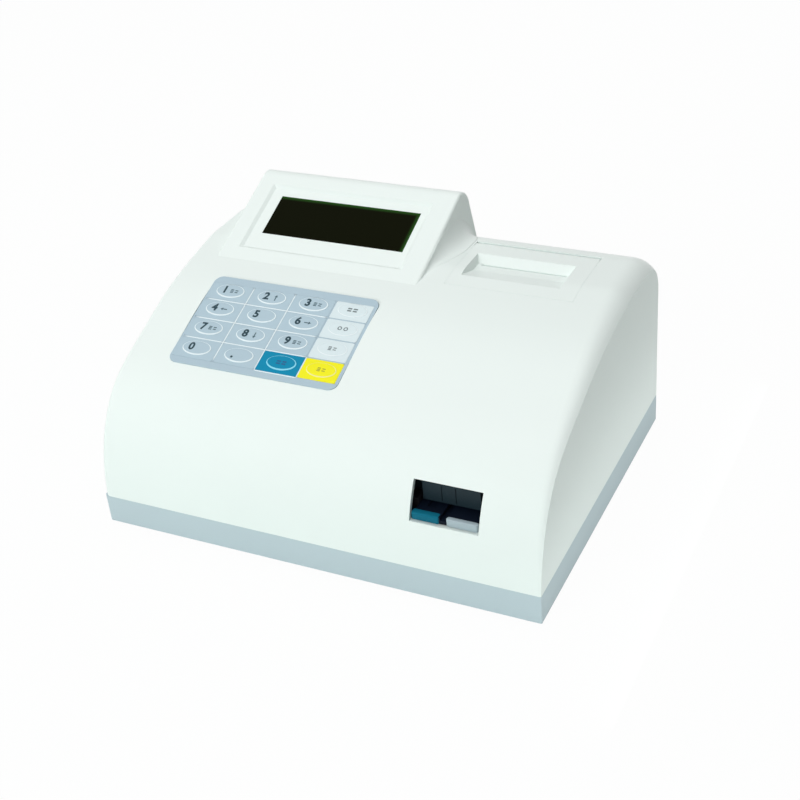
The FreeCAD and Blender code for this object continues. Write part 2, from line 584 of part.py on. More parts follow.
def build_display():
    """The clear window, the display module behind it and its board, all in the pod's frame."""
    gap = "window_gap"
    lens = box("lens_front", ("window_left + " + gap, "window_left + window_width - " + gap),
               ("window_low + " + gap, "window_low + window_length - " + gap),
               ("-recess_depth - window_thick", "-recess_depth"))
    flange = box("lens_flange",
                 ("window_left - window_flange", "window_left + window_width + window_flange"),
                 ("window_low - window_flange", "window_low + window_length + window_flange"),
                 ("-pod_wall - flange_thick", "-pod_wall"))
    node(in_frame("lens_solid", [lens, flange], pod_frame()), "display_window")
    back = "-pod_wall - flange_thick - 0.2"
    outer = box("module_block",
                ("window_left - module_margin", "window_left + window_width + module_margin"),
                ("window_low - module_margin", "window_low + window_length + module_margin"),
                (back + " - module_thick", back))
    opening = box("module_opening", ("window_left - 1", "window_left + window_width + 1"),
                  ("window_low - 1", "window_low + window_length + 1"),
                  (back + " - module_thick + 1", back + " + 1"))
    bezel = cut("module_cut", outer, [opening])
    bezel.Placement = pod_frame()
    node(bezel, "display_bezel")
    glass = box("glass_block", ("window_left - 0.8", "window_left + window_width + 0.8"),
                ("window_low - 0.8", "window_low + window_length + 0.8"),
                (back + " - 1 - glass_thick", back + " - 1"))
    node(in_frame("glass_solid", [glass], pod_frame()), "display_glass")
    rear = back + " - module_thick"
    board = box("display_board_block",
                ("window_left - module_margin", "window_left + window_width + module_margin"),
                ("window_low - module_margin - 2", "window_low + window_length + module_margin"),
                (rear + " - display_board_thick", rear))
    chips = [box("display_chip_%d" % i,
                 ("window_left + %d" % (12 + 30 * i), "window_left + %d" % (26 + 30 * i)),
                 ("window_low + 10", "window_low + 22"),
                 (rear + " - display_board_thick - 2", rear + " - 1"))
             for i in range(3)]
    node(in_frame("display_board_solid", [board] + chips, pod_frame()), "display_board")


def build_keypad():
    """The overlay with its sixteen windows, the key fields in them and the board below."""
    overlay = plate("overlay_plate", "pad_width", "pad_length", "overlay_thick", "pad_radius")
    windows = []
    for row in range(4):
        for column in range(4):
            left, right = "key_u_%d" % column, "key_u_%d" % (column + 1)
            low, high = "key_v_%d" % row, "key_v_%d" % (row + 1)
            near, far = " + key_bar / 2", " - key_bar / 2"
            windows.append(box("key_window_%d%d" % (row, column), (left + near, right + far),
                               (low + near, high + far), ("-1", "4")))
            field = box("field_%d%d" % (row, column),
                        (left + near + " + key_gap", right + far + " - key_gap"),
                        (low + near + " + key_gap", high + far + " - key_gap"),
                        ("pad_proud - key_thick", "pad_proud"))
            node(in_frame("field_solid_%d%d" % (row, column), [field], pad_frame()), KEY_NAMES[row][column])
    lattice = cut("overlay_cut", overlay, windows)
    lattice.Placement = pad_frame(size("pad_proud") - size("overlay_thick"))
    node(lattice, "keypad_overlay")
    board = plate("key_board_plate", "pad_width", "pad_length", "key_board_thick", "pad_radius")
    board.Placement = pad_frame(size("pad_proud") - size("overlay_thick") - size("key_board_thick"))
    node(board, "keypad_board")


def involute_outline(module, teeth, backlash, phase):
    """The outline of a spur gear with involute flanks, as a closed wire in the XY plane.

    phase is the angle of the middle of the first tooth, in radians.
    """
    pressure = math.radians(20.0)
    pitch = module * teeth / 2
    base, tip, root = pitch * math.cos(pressure), pitch + module, pitch - 1.25 * module
    start = max(base, root)
    half_at_pitch = math.pi / (2 * teeth) - backlash / (2 * pitch)
    offset = half_at_pitch + math.tan(pressure) - pressure

    def flank(radius):
        roll = math.acos(min(1.0, base / radius))
        return offset - (math.tan(roll) - roll)

    radii = [start + (tip - start) * step / 4 for step in range(5)]
    edges = []
    for tooth in range(int(teeth)):
        middle = phase + 2 * math.pi * tooth / teeth
        up = [V(r * math.cos(middle - flank(r)), r * math.sin(middle - flank(r)), 0) for r in radii]
        down = [V(r * math.cos(middle + flank(r)), r * math.sin(middle + flank(r)), 0)
                for r in reversed(radii)]
        low_angle = middle - flank(start)
        high_angle = middle + flank(start)
        next_angle = middle + 2 * math.pi / teeth - flank(start)
        foot = V(root * math.cos(high_angle), root * math.sin(high_angle), 0)
        next_foot = V(root * math.cos(next_angle), root * math.sin(next_angle), 0)
        next_start = V(start * math.cos(next_angle), start * math.sin(next_angle), 0)
        for side in (up, down):
            curve = Part.BSplineCurve()
            curve.interpolate(side)
            edges.append(curve.toShape())
        edges.insert(-1, Part.makeLine(up[-1], down[0]))
        if start > root + 1e-6:
            edges.append(Part.makeLine(down[-1], foot))
        edges.append(Part.makeLine(foot if start > root + 1e-6 else down[-1],
                                   next_foot if start > root + 1e-6 else next_start))
        if start > root + 1e-6:
            edges.append(Part.makeLine(next_foot, next_start))
    return Part.Wire(Part.__sortEdges__(edges))


def gear(label, module, teeth, backlash, phase, bore, width, at, stub=0.0):
    """A spur gear along X, with its lower face at the place given, bored or on a shaft of its own."""
    disc = Part.Face(involute_outline(module, teeth, backlash, phase)).extrude(V(0, 0, width))
    axle = Part.makeCylinder(bore, width + stub, V(0, 0, -stub))
    solid = disc.fuse(axle).removeSplitter() if stub else disc.cut(axle)
    item = doc.addObject("Part::Feature", label + "_solid")
    item.Shape = solid
    # the gear's own X and Y turn to the row's Y and Z
    item.Placement = FreeCAD.Placement(at, FreeCAD.Rotation(V(0, 1, 0), V(0, 0, 1), V(1, 0, 0), "XYZ"))
    return node(item, label)


def build_tray():
    """The strip tray, its rack, what it carries, and the side plates it runs in."""
    deck_top = "deck_low + deck_thick"
    deck = box("deck", ("tray_left", "tray_right"), ("tray_front", "tray_rear"), ("deck_low", deck_top))
    middle = "deck_low + deck_thick / 2"
    tongues = box("tongues", ("tray_left - tongue_reach", "tray_right + tongue_reach"),
                  ("tongue_front", "tray_rear"),
                  (middle + " - tongue_thick / 2", middle + " + tongue_thick / 2"))
    node(fuse("tray_solid", [deck, tongues]), "strip_tray")
    top = deck_top + " + plate_thick"
    strip = box("strip_block", ("tray_left", "tray_left + strip_plate_width"),
                ("tray_front", "tray_front + strip_plate_length"), (deck_top, top))
    groove = box("strip_groove", ("strip_groove_left", "strip_groove_left + strip_groove_width"),
                 ("tray_front + 8", "tray_front + strip_plate_length - 4"), (top + " - 1", top + " + 1"))
    node(cut("strip_cut", strip, [groove]), "strip_plate")
    node(box("reference_block", ("reference_left", "tray_right"),
             ("tray_front", "tray_front + reference_length"),
             (deck_top, top)), "reference_plate")
    build_rack()
    gap, thick = "side_gap", "side_plate_thick"
    slot = (middle + " - tongue_thick / 2 - tongue_gap", middle + " + tongue_thick / 2 + tongue_gap")
    pinion_z = "rack_pitch_z - gear_module * pinion_teeth / 2 - mesh_gap"
    span_y = ("side_plate_front", "side_plate_rear")
    left = box("left_plate", ("tray_left - %s - %s" % (gap, thick), "tray_left - " + gap), span_y,
               ("foot_gap + floor_thick", "side_plate_top"))
    left_slot = box("left_slot", ("tray_left - tongue_reach - 0.1", "tray_left"),
                    ("side_plate_front - 1", "side_plate_rear + 1"), slot)
    left_hole = rod("left_hole", "x", "5", "30", "50", "pinion_y", pinion_z)
    node(cut("left_plate_cut", left, [left_slot, left_hole]), "left_side_plate")
    right = box("right_plate", ("tray_right + " + gap, "tray_right + %s + %s" % (gap, thick)), span_y,
                ("foot_gap + floor_thick", "side_plate_top"))
    right_slot = box("right_slot", ("tray_right", "tray_right + tongue_reach + 0.1"),
                     ("side_plate_front - 1", "side_plate_rear + 1"), slot)
    right_hole = rod("right_hole", "x", "tray_shaft_radius + bush_gap", "20", "105", "pinion_y", pinion_z)
    node(cut("right_plate_cut", right, [right_slot, right_hole]), "right_side_plate")
    build_tray_drive(pinion_z)


def build_rack():
    """The rack under the deck, with straight 20 degree flanks pointing down."""
    module = size("gear_module")
    step = math.pi * module
    pitch_z, top = size("rack_pitch_z"), size("rack_top")
    half = step / 4 - 0.04
    lean = math.tan(math.radians(20.0))
    root, tip = pitch_z + 1.25 * module, pitch_z - module
    first = size("pinion_y") - step / 2 - step * round((size("pinion_y") - size("rack_front")) / step - 0.5)
    points = [V(0, first - step / 2, root), V(0, first - step / 2, top)]
    last = first + step * (size("rack_teeth") - 1)
    points += [V(0, last + step / 2, top), V(0, last + step / 2, root)]
    for tooth in reversed(range(int(size("rack_teeth")))):
        middle = first + step * tooth
        wide, narrow = half + (root - pitch_z) * lean, half - (pitch_z - tip) * lean
        points += [V(0, middle + wide, root), V(0, middle + narrow, tip), V(0, middle - narrow, tip),
                   V(0, middle - wide, root)]
    outline = Part.makePolygon(points + [points[0]])
    item = doc.addObject("Part::Feature", "rack_solid")
    item.Shape = Part.Face(outline).extrude(V(size("rack_width"), 0, 0))
    item.Placement = FreeCAD.Placement(V(size("rack_left"), 0, 0), FreeCAD.Rotation())
    node(item, "tray_rack")


def build_tray_drive(pinion_z):
    """The tray motor, its shaft and the pinion that drives the rack."""
    center_z = size("rack_pitch_z") - size("gear_module") * size("pinion_teeth") / 2 - size("mesh_gap")
    # a tooth gap faces the rack tooth that stands half a step in front of the pinion's axis
    teeth = size("pinion_teeth")
    gear("tray_pinion", size("gear_module"), teeth, 0.08, math.pi / 2, size("pinion_bore"),
         size("rack_width") - 0.5, V(size("rack_left") + 0.25, size("pinion_y"), center_z))
    shaft = rod("tray_shaft_rod", "x", "tray_shaft_radius",
                "tray_right + side_gap + side_plate_thick - tray_shaft_start", "tray_shaft_start",
                "pinion_y", pinion_z)
    node(shaft, "tray_motor_shaft")
    plate_face = "tray_left - side_gap - side_plate_thick"
    can = rod("tray_motor_can", "x", "tray_motor_radius", "tray_motor_length",
              plate_face + " - tray_motor_length - 1.5", "pinion_y", pinion_z)
    ears = box("tray_motor_ears", (plate_face + " - 1.5", plate_face), ("pinion_y - 20", "pinion_y + 20"),
               (pinion_z + " - 6", pinion_z + " + 6"))
    bore = rod("tray_motor_bore", "x", "tray_shaft_radius + bush_gap", "40", "50", "pinion_y", pinion_z)
    node(cut("tray_motor_cut", fuse("tray_motor_solid", [can, ears]), [bore]), "tray_motor")


def build_reader():
    """The optical head that spans the tray, its nose behind the port and its lens."""
    outside = "side_gap + side_plate_thick"
    block = box("reader_block", ("tray_left - (%s)" % outside, "tray_right + " + outside),
                ("reader_front", "reader_rear"), ("side_plate_top", "side_plate_top + reader_height"))
    nose = box("reader_nose", ("nose_left", "nose_right"),
               ("reader_front - nose_reach", "reader_front + 2"),
               ("nose_low", "nose_high"))
    nose_face = "reader_front - nose_reach"
    seams = [box("reader_seam_%d" % i, (x, x + " + seam_width"),
                 (nose_face + " - 1", nose_face + " + seam_width"), ("nose_low + 1", "nose_high - 1"))
             for i, x in enumerate(("nose_left + 12", "nose_left + 21"))]
    center = ("strip_groove_left + strip_groove_width / 2", "(reader_front + reader_rear) / 2")
    hole = rod("lens_hole", "z", "lens_radius + 0.05", "lens_length + 2", *center, "side_plate_top - 2")
    node(cut("reader_cut", fuse("reader_solid", [block, nose]), [hole] + seams), "optical_head")
    node(rod("lens_rod", "z", "lens_radius", "lens_length - 0.5", *center, "side_plate_top"),
         "optical_lens")
    board = box("sensor_board_block", ("tray_left", "tray_right"), ("reader_front + 6", "reader_rear - 4"),
                ("side_plate_top + reader_height", "side_plate_top + reader_height + 1.6"))
    node(board, "sensor_board")


def build_printer():
    """The paper bay, the paper roll and the printing mechanism behind it."""
    inner = box("bay_inner", ("bay_left + bay_wall", "bay_right - bay_wall"),
                ("bay_front + bay_wall", "bay_rear - bay_wall"),
                ("bay_low + bay_wall", "bay_top + 1"))
    outer = box("bay_outer", ("bay_left", "bay_right"), ("bay_front", "bay_rear"), ("bay_low", "bay_top"))
    legs = [box("bay_leg_%d" % i, x, y, ("foot_gap + floor_thick", "bay_low + 1"))
            for i, (x, y) in enumerate((a, b) for a in (("bay_left", "bay_left + leg_size"),
                                                        ("bay_right - leg_size", "bay_right"))
                                       for b in (("bay_front", "bay_front + leg_size"),
                                                 ("bay_rear - leg_size", "bay_rear")))]
    shell = cut("bay_shell", fuse("bay_solid", [outer] + legs), [inner])
    spindle_hole = rod("bay_spindle_hole", "x", "spindle_radius + bush_gap", "bay_right - bay_left + 4",
                       "bay_left - 2", "roll_y", "roll_z")
    node(cut("bay_cut", shell, [spindle_hole]), "paper_bay")
    node(rod("hinge_pin_rod", "x", "hinge_pin_radius", "lid_right - lid_left + 2 * bracket_width - 1",
             "lid_left - bracket_width + 0.5", HINGE_Y, HINGE_Z), "lid_hinge_pin")
    node(rod("spindle_rod", "x", "spindle_radius", "bay_right - bay_left", "bay_left", "roll_y", "roll_z"),
         "paper_spindle")
    start = "printer_mid - roll_half_width"
    long = "2 * roll_half_width"
    roll = rod("roll_rod", "x", "roll_radius", long, start, "roll_y", "roll_z")
    roll_hole = rod("roll_hole", "x", "core_radius", long, start, "roll_y", "roll_z")
    node(cut("roll_cut", roll, [roll_hole]), "paper_roll")
    core = rod("core_rod", "x", "core_radius", long, start, "roll_y", "roll_z")
    core_hole = rod("core_hole", "x", "spindle_radius + 0.08", long, start, "roll_y", "roll_z")
    node(cut("core_cut", core, [core_hole]), "paper_core")
    build_print_mechanism()


def build_print_mechanism():
    """The platen between two frame plates, the thermal head, and the gear train to its motor."""
    start = "printer_mid - platen_half"
    long = "2 * platen_half"
    rubber = rod("platen_rod", "x", "platen_radius", long, start, "platen_y", "platen_z")
    hole = rod("platen_hole", "x", "platen_shaft_radius", long, start, "platen_y", "platen_z")
    node(cut("platen_cut", rubber, [hole]), "platen_rubber")
    node(rod("platen_shaft_rod", "x", "platen_shaft_radius",
             "printer_gear_x + printer_gear_width - printer_mid + frame_half + 1",
             "printer_mid - frame_half - 1", "platen_y", "platen_z"), "platen_shaft")
    counts = [size(name) for name in ("platen_teeth", "idler_teeth", "motor_teeth")]
    radius = [size("printer_module") * count / 2 for count in counts]
    gap = size("mesh_gap")
    platen = V(size("printer_gear_x"), size("platen_y"), size("platen_z"))
    idler = platen - V(0, 0, radius[0] + radius[1] + gap)
    motor = idler - V(0, 0, radius[1] + radius[2] + gap)
    module, width = size("printer_module"), size("printer_gear_width")
    half_step = [math.pi / count for count in counts]
    gear("platen_gear", module, counts[0], 0.06, -math.pi / 2, size("platen_shaft_radius"),
         width, platen)
    # the idler turns a gap up to the platen gear's tooth, and with an even count a gap down as well
    gear("idler_gear", module, counts[1], 0.06, math.pi / 2 + half_step[1],
         1.5 + size("bush_gap"), width, idler)
    gear("motor_pinion", module, counts[2], 0.06, math.pi / 2, 1.0, width, motor, 25.0)
    gear_x = "printer_gear_x"
    idler_drop = "platen_z - printer_module * (platen_teeth + idler_teeth) / 2 - mesh_gap"
    motor_drop = idler_drop + " - printer_module * (idler_teeth + motor_teeth) / 2 - mesh_gap"
    sides = []
    for i, low in enumerate(("printer_mid - frame_half", "printer_mid + frame_half - frame_thick")):
        sides.append(box("frame_side_%d" % i, (low, low + " + frame_thick"),
                         ("platen_y - 5", "platen_y + 7"),
                         ("bay_low + bay_wall", "platen_z + 4")))
    cross = box("frame_cross", ("printer_mid - frame_half", "printer_mid + frame_half"),
                ("platen_y + 5.5", "platen_y + 7"), ("bay_low + bay_wall", "platen_z - 6"))
    stud = rod("idler_stud", "x", "1.5", gear_x + " + printer_gear_width - printer_mid - frame_half + 1",
               "printer_mid + frame_half - 1", "platen_y", idler_drop)
    holes = [rod("platen_bearing", "x", "platen_shaft_radius + bush_gap", "80", "printer_mid - 40",
                 "platen_y", "platen_z"),
             rod("motor_opening", "x", "2.5", "12", "printer_mid + frame_half - 6", "platen_y", motor_drop)]
    node(cut("frame_cut", fuse("frame_solid", sides + [cross, stud]), holes), "printer_frame")
    can = rod("printer_motor_can", "x", "printer_motor_radius - 3", "printer_motor_length",
              "printer_mid + frame_half - frame_thick - printer_motor_length", "platen_y", motor_drop)
    bore = rod("printer_motor_bore", "x", "1 + bush_gap", "60", "printer_mid", "platen_y", motor_drop)
    node(cut("printer_motor_cut", can, [bore]), "printer_motor")
    head = box("head_plate", (start, start + " + " + long),
               ("platen_y - platen_radius - head_gap - head_thick", "platen_y - platen_radius - head_gap"),
               ("platen_z - 14", "platen_z + 3"))
    foot = box("head_foot", ("printer_mid - frame_half + frame_thick",
                             "printer_mid + frame_half - frame_thick"),
               ("platen_y - platen_radius - head_gap - head_thick", "platen_y - 1"),
               ("platen_z - 16", "platen_z - 13"))
    node(fuse("head_solid", [head, foot]), "thermal_head")


def build_electronics():
    """The main board and the transformer."""
    board = box("main_board_block", ("board_left", "board_right"), ("board_front", "board_rear"),
                ("board_z", "board_z + board_thick"))
    chips = [box("main_chip_%d" % i, ("board_left + %d" % x, "board_left + %d" % (x + width)),
                 ("board_front + %d" % y, "board_front + %d" % (y + depth)),
                 ("board_z + 1", "board_z + board_thick + %s" % height))
             for i, (x, y, width, depth, height) in enumerate(CHIPS)]
    node(fuse("main_board_solid", [board] + chips), "main_board")
    low = "foot_gap + floor_thick"
    core = box("transformer_core", ("transformer_left", "transformer_right"),
               ("transformer_front + 8", "transformer_rear - 8"),
               (low, low + " + transformer_height"))
    coil = box("transformer_coil", ("transformer_left + 9", "transformer_right - 9"),
               ("transformer_front", "transformer_rear"), (low + " + 8", low + " + transformer_height - 8"))
    node(fuse("transformer_solid", [core, coil]), "transformer")


def build_rear_panel():
    """The rear panel and what it carries: inlet, rocker switch, fuse holder and serial socket."""
    inside = "body_depth / 2 - wall"
    sheet_y = (inside + " - panel_thick", inside)
    panel = box("panel_block", ("panel_left", "panel_right"), sheet_y, ("panel_low", "panel_high"))

    def hole(name, x, width, height):
        return box(name, ("%s - %s / 2" % (x, width), "%s + %s / 2" % (x, width)),
                   (inside + " - 10", inside + " + 1"),
                   ("device_z - %s / 2" % height, "device_z + %s / 2" % height))

    def block(name, x, width, height, y):
        return box(name, ("%s - (%s) / 2" % (x, width), "%s + (%s) / 2" % (x, width)), y,
                   ("device_z - (%s) / 2" % height, "device_z + (%s) / 2" % height))

    holes = [hole("inlet_hole", "inlet_x", "inlet_width", "inlet_height"),
             hole("switch_hole", "switch_x", "switch_width", "switch_height"),
             hole("serial_hole", "serial_x", "(serial_width - 12)", "(serial_height - 1)"),
             rod("fuse_hole", "y", "fuse_radius", "20", "fuse_x", inside + " - 12", "device_z")]
    node(cut("panel_cut", panel, holes), "rear_panel")
    gap = " - 0.2"
    inlet = fuse("inlet_solid", [block("inlet_block", "inlet_x", "inlet_width" + gap, "inlet_height" + gap,
                                       (inside + " - inlet_depth", inside)),
                                 block("inlet_flange", "inlet_x", "inlet_width + 4", "inlet_height + 4",
                                       (inside, inside + " + 1.6"))])
    cavity = block("inlet_cavity", "inlet_x", "inlet_width - 4", "inlet_height - 4",
                   (inside + " - 15", inside + " + 3"))
    blades = [box("inlet_blade_%d" % i, ("inlet_x + %s - 1" % dx, "inlet_x + %s + 1" % dx),
                  (inside + " - 16", inside + " - 4"), ("device_z + %s - 2" % dz, "device_z + %s + 2" % dz))
              for i, (dx, dz) in enumerate(((-7, -2.5), (7, -2.5), (0, 3)))]
    node(fuse("inlet_with_blades", [cut("inlet_cut", inlet, [cavity])] + blades), "power_inlet")
    frame = fuse("switch_frame",
                 [block("switch_block", "switch_x", "switch_width" + gap, "switch_height" + gap,
                        (inside + " - switch_depth", inside)),
                  block("switch_flange", "switch_x", "switch_width + 3", "switch_height + 3",
                        (inside, inside + " + 1"))])
    well = block("switch_well", "switch_x", "switch_width - 2.6", "switch_height - 3",
                 (inside + " - 8", inside + " + 3"))
    pivot_bore = rod("switch_pivot_bore", "x", "1.03", "switch_width - 1",
                     "switch_x - switch_width / 2 + 0.5", inside + " - 2", "device_z")
    node(cut("switch_cut", frame, [well, pivot_bore]), "switch_housing")
    build_rocker(inside)
    barrel = rod("fuse_barrel", "y", "fuse_radius - 0.1", "24", "fuse_x", inside + " - 24", "device_z")
    cap = rod("fuse_cap", "y", "fuse_radius + 2", "2.2", "fuse_x", inside, "device_z")
    slot = box("fuse_slot", ("fuse_x - 4", "fuse_x + 4"), (inside + " + 1.4", inside + " + 3"),
               ("device_z - 0.6", "device_z + 0.6"))
    node(cut("fuse_cut", fuse("fuse_solid", [barrel, cap]), [slot]), "fuse_holder")
    shell = fuse("serial_solid",
                 [block("serial_flange", "serial_x", "serial_width", "serial_height",
                        (inside, inside + " + 0.8")),
                  block("serial_body", "serial_x", "serial_width - 12.2", "serial_height - 1.2",
                        (inside + " - 8", inside + " + 2.4"))])
    pitch = 2.8
    spots = [(pitch * (k - 2), 1.5) for k in range(5)] + [(pitch * (k - 1.5), -1.5) for k in range(4)]
    pins = [rod("serial_pin_%d" % i, "y", "0.5", "6", "serial_x + %s" % dx, inside + " - 2",
                "device_z + %s" % dz)
            for i, (dx, dz) in enumerate(spots)]
    node(cut("serial_cut", shell, pins), "serial_socket")


def build_rocker(inside):
    """The rocker of the power switch: a shallow V that turns on a pivot through the housing."""
    half = size("switch_height") / 2 - 2.4
    width = size("switch_width") - 3.4
    lean = math.tan(math.radians(size("rocker_tilt")))
    face_y = size("body_depth") / 2 - size("wall")
    outer = [V(0, 1.2 + half * lean, half), V(0, 1.2, 0), V(0, 1.2 + half * lean, -half),
             V(0, -2.6, -half * 0.6),
             V(0, -2.6, half * 0.6)]
    wedge = Part.Face(Part.makePolygon(outer + [outer[0]])).extrude(V(width, 0, 0))
    wedge.translate(V(-width / 2, 0, 0))
    pivot = Part.makeCylinder(1.0, width + 2.0, V(-width / 2 - 1.0, -0.6, 0), V(1, 0, 0))
    item = doc.addObject("Part::Feature", "rocker_solid")
    item.Shape = wedge.fuse(pivot)
    center = V(size("switch_x"), face_y - 2.0, size("device_z"))
    turn = FreeCAD.Rotation(V(1, 0, 0), -size("rocker_tilt"))
    item.Placement = FreeCAD.Placement(center - turn.multVec(V(0, -0.6, 0)), turn)
    node(item, "power_rocker")


def check_and_write():
    """Stops on any failed object, then writes each sub-part's STEP file."""
    doc.recompute()
    for item in doc.Objects:
        if "Invalid" in item.State or "Error" in item.State:
            raise RuntimeError("%s failed: %s" % (item.Label, item.State))
    os.makedirs("parts", exist_ok=True)
    for item in nodes:
        if item.Shape.isNull() or not item.Shape.isValid() or item.Shape.Volume <= 0:
            raise RuntimeError(item.Label + " has no valid shape")
        item.Shape.exportStep("parts/%s.step" % item.Label)
        print("%-20s %2d solids %10.1f mm3" % (item.Label, len(item.Shape.Solids), item.Shape.Volume))


fill_sheet()
build_housing()
build_display()
build_keypad()
build_tray()
build_reader()
build_printer()
build_electronics()
build_rear_panel()
check_and_write()
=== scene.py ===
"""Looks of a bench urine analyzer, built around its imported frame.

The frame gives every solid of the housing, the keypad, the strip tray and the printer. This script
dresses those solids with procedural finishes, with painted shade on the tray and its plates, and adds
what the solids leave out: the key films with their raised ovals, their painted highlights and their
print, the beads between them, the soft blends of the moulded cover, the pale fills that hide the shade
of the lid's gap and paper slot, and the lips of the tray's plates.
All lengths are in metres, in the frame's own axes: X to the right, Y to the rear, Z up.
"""

from __future__ import annotations

import json
import logging
import math
from dataclasses import dataclass, field
from enum import Enum

import bpy
import numpy as np
from mathutils import Matrix, Vector
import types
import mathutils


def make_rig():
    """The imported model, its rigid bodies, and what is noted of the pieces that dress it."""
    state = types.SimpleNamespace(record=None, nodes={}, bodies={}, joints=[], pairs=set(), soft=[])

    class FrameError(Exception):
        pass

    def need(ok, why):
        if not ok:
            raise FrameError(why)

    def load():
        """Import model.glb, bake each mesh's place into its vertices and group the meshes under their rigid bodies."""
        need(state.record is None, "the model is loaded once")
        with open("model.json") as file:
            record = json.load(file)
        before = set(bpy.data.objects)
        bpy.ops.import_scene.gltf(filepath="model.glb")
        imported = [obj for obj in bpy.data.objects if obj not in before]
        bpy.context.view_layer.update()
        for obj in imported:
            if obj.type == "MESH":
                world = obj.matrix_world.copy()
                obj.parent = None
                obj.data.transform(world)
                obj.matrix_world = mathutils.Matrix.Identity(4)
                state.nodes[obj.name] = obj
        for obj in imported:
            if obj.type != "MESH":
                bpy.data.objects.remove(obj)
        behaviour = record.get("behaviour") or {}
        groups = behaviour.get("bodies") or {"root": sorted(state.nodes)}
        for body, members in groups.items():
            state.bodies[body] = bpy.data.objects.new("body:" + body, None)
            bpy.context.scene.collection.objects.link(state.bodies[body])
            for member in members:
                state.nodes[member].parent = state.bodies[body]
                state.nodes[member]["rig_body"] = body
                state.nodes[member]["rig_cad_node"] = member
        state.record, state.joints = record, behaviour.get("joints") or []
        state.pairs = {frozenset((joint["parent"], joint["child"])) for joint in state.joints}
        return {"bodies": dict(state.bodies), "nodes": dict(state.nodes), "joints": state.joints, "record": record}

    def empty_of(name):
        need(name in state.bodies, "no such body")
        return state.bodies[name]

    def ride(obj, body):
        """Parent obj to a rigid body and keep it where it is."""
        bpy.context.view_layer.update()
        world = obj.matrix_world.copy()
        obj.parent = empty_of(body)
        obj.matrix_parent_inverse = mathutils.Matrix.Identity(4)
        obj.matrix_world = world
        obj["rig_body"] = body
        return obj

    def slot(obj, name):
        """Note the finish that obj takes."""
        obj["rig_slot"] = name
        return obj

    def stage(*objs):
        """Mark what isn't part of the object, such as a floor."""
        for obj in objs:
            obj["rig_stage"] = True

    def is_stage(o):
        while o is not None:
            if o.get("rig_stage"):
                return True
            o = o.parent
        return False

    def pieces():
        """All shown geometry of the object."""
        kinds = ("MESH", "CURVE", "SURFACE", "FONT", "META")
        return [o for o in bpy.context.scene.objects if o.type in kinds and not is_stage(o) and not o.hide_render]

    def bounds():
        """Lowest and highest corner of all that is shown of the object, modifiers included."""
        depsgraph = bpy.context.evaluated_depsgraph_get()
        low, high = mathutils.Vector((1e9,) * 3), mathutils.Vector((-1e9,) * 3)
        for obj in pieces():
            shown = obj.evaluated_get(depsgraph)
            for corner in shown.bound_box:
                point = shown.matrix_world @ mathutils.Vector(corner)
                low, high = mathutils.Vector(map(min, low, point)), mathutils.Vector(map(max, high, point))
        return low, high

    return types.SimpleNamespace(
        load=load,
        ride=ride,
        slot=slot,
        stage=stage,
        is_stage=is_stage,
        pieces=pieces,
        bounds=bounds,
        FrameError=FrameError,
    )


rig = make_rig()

LOG = logging.getLogger("urine_analyzer")
SIZE_FILE = "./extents.json"
MILLIMETRE = 0.001
Color = tuple[float, float, float]
Point = tuple[float, float, float]
Pair = tuple[float, float]
Piece = bpy.types.Object
Tree = bpy.types.NodeTree
Socket = bpy.types.NodeSocket


# ---------------------------------------------------------------- surfaces


def grid_mesh(name: str, points: np.ndarray, close_u: bool = False, close_v: bool = False) -> Piece:
    """Makes a mesh from a grid of points: quad (i, j) joins the points i, i+1 by j, j+1.

    Args:
        name: the new object's name.
        points: the grid, with shape (rows, columns, 3).
        close_u: whether the last row joins the first.
        close_v: whether the last column joins the first.

    Returns:
        The new object, smooth-shaded and linked to the scene.
    """
    rows, columns = points.shape[:2]
    index = np.arange(rows * columns).reshape(rows, columns)
    if close_u:
        index = np.vstack([index, index[:1]])
    if close_v:
        index = np.hstack([index, index[:, :1]])
    quads = np.stack([index[:-1, :-1], index[1:, :-1], index[1:, 1:], index[:-1, 1:]], axis=-1)
    return mesh_piece(name, points.reshape(-1, 3), quads.reshape(-1, 4))


def mesh_piece(name: str, vertices: np.ndarray, faces: np.ndarray) -> Piece:
    """Puts vertices and same-sized faces in a new mesh object.

    Args:
        name: the new object's name.
        vertices: an array of shape (count, 3).
        faces: an array of shape (count, corners) of vertex numbers.

    Returns:
        The new object, smooth-shaded and linked to the scene.
    """
    mesh = bpy.data.meshes.new(name)
    corners = faces.shape[1]
    mesh.vertices.add(len(vertices))
    mesh.vertices.foreach_set("co", np.ascontiguousarray(vertices, np.float32).ravel())
    mesh.loops.add(faces.size)
    mesh.loops.foreach_set("vertex_index", np.ascontiguousarray(faces, np.int32).ravel())
    mesh.polygons.add(len(faces))
    mesh.polygons.foreach_set("loop_start", np.arange(0, faces.size, corners, dtype=np.int32))
    mesh.polygons.foreach_set("use_smooth", np.full(len(faces), True))
    mesh.update(calc_edges=True)
    mesh.validate()
    piece = bpy.data.objects.new(name, mesh)
    bpy.context.scene.collection.objects.link(piece)
    return piece


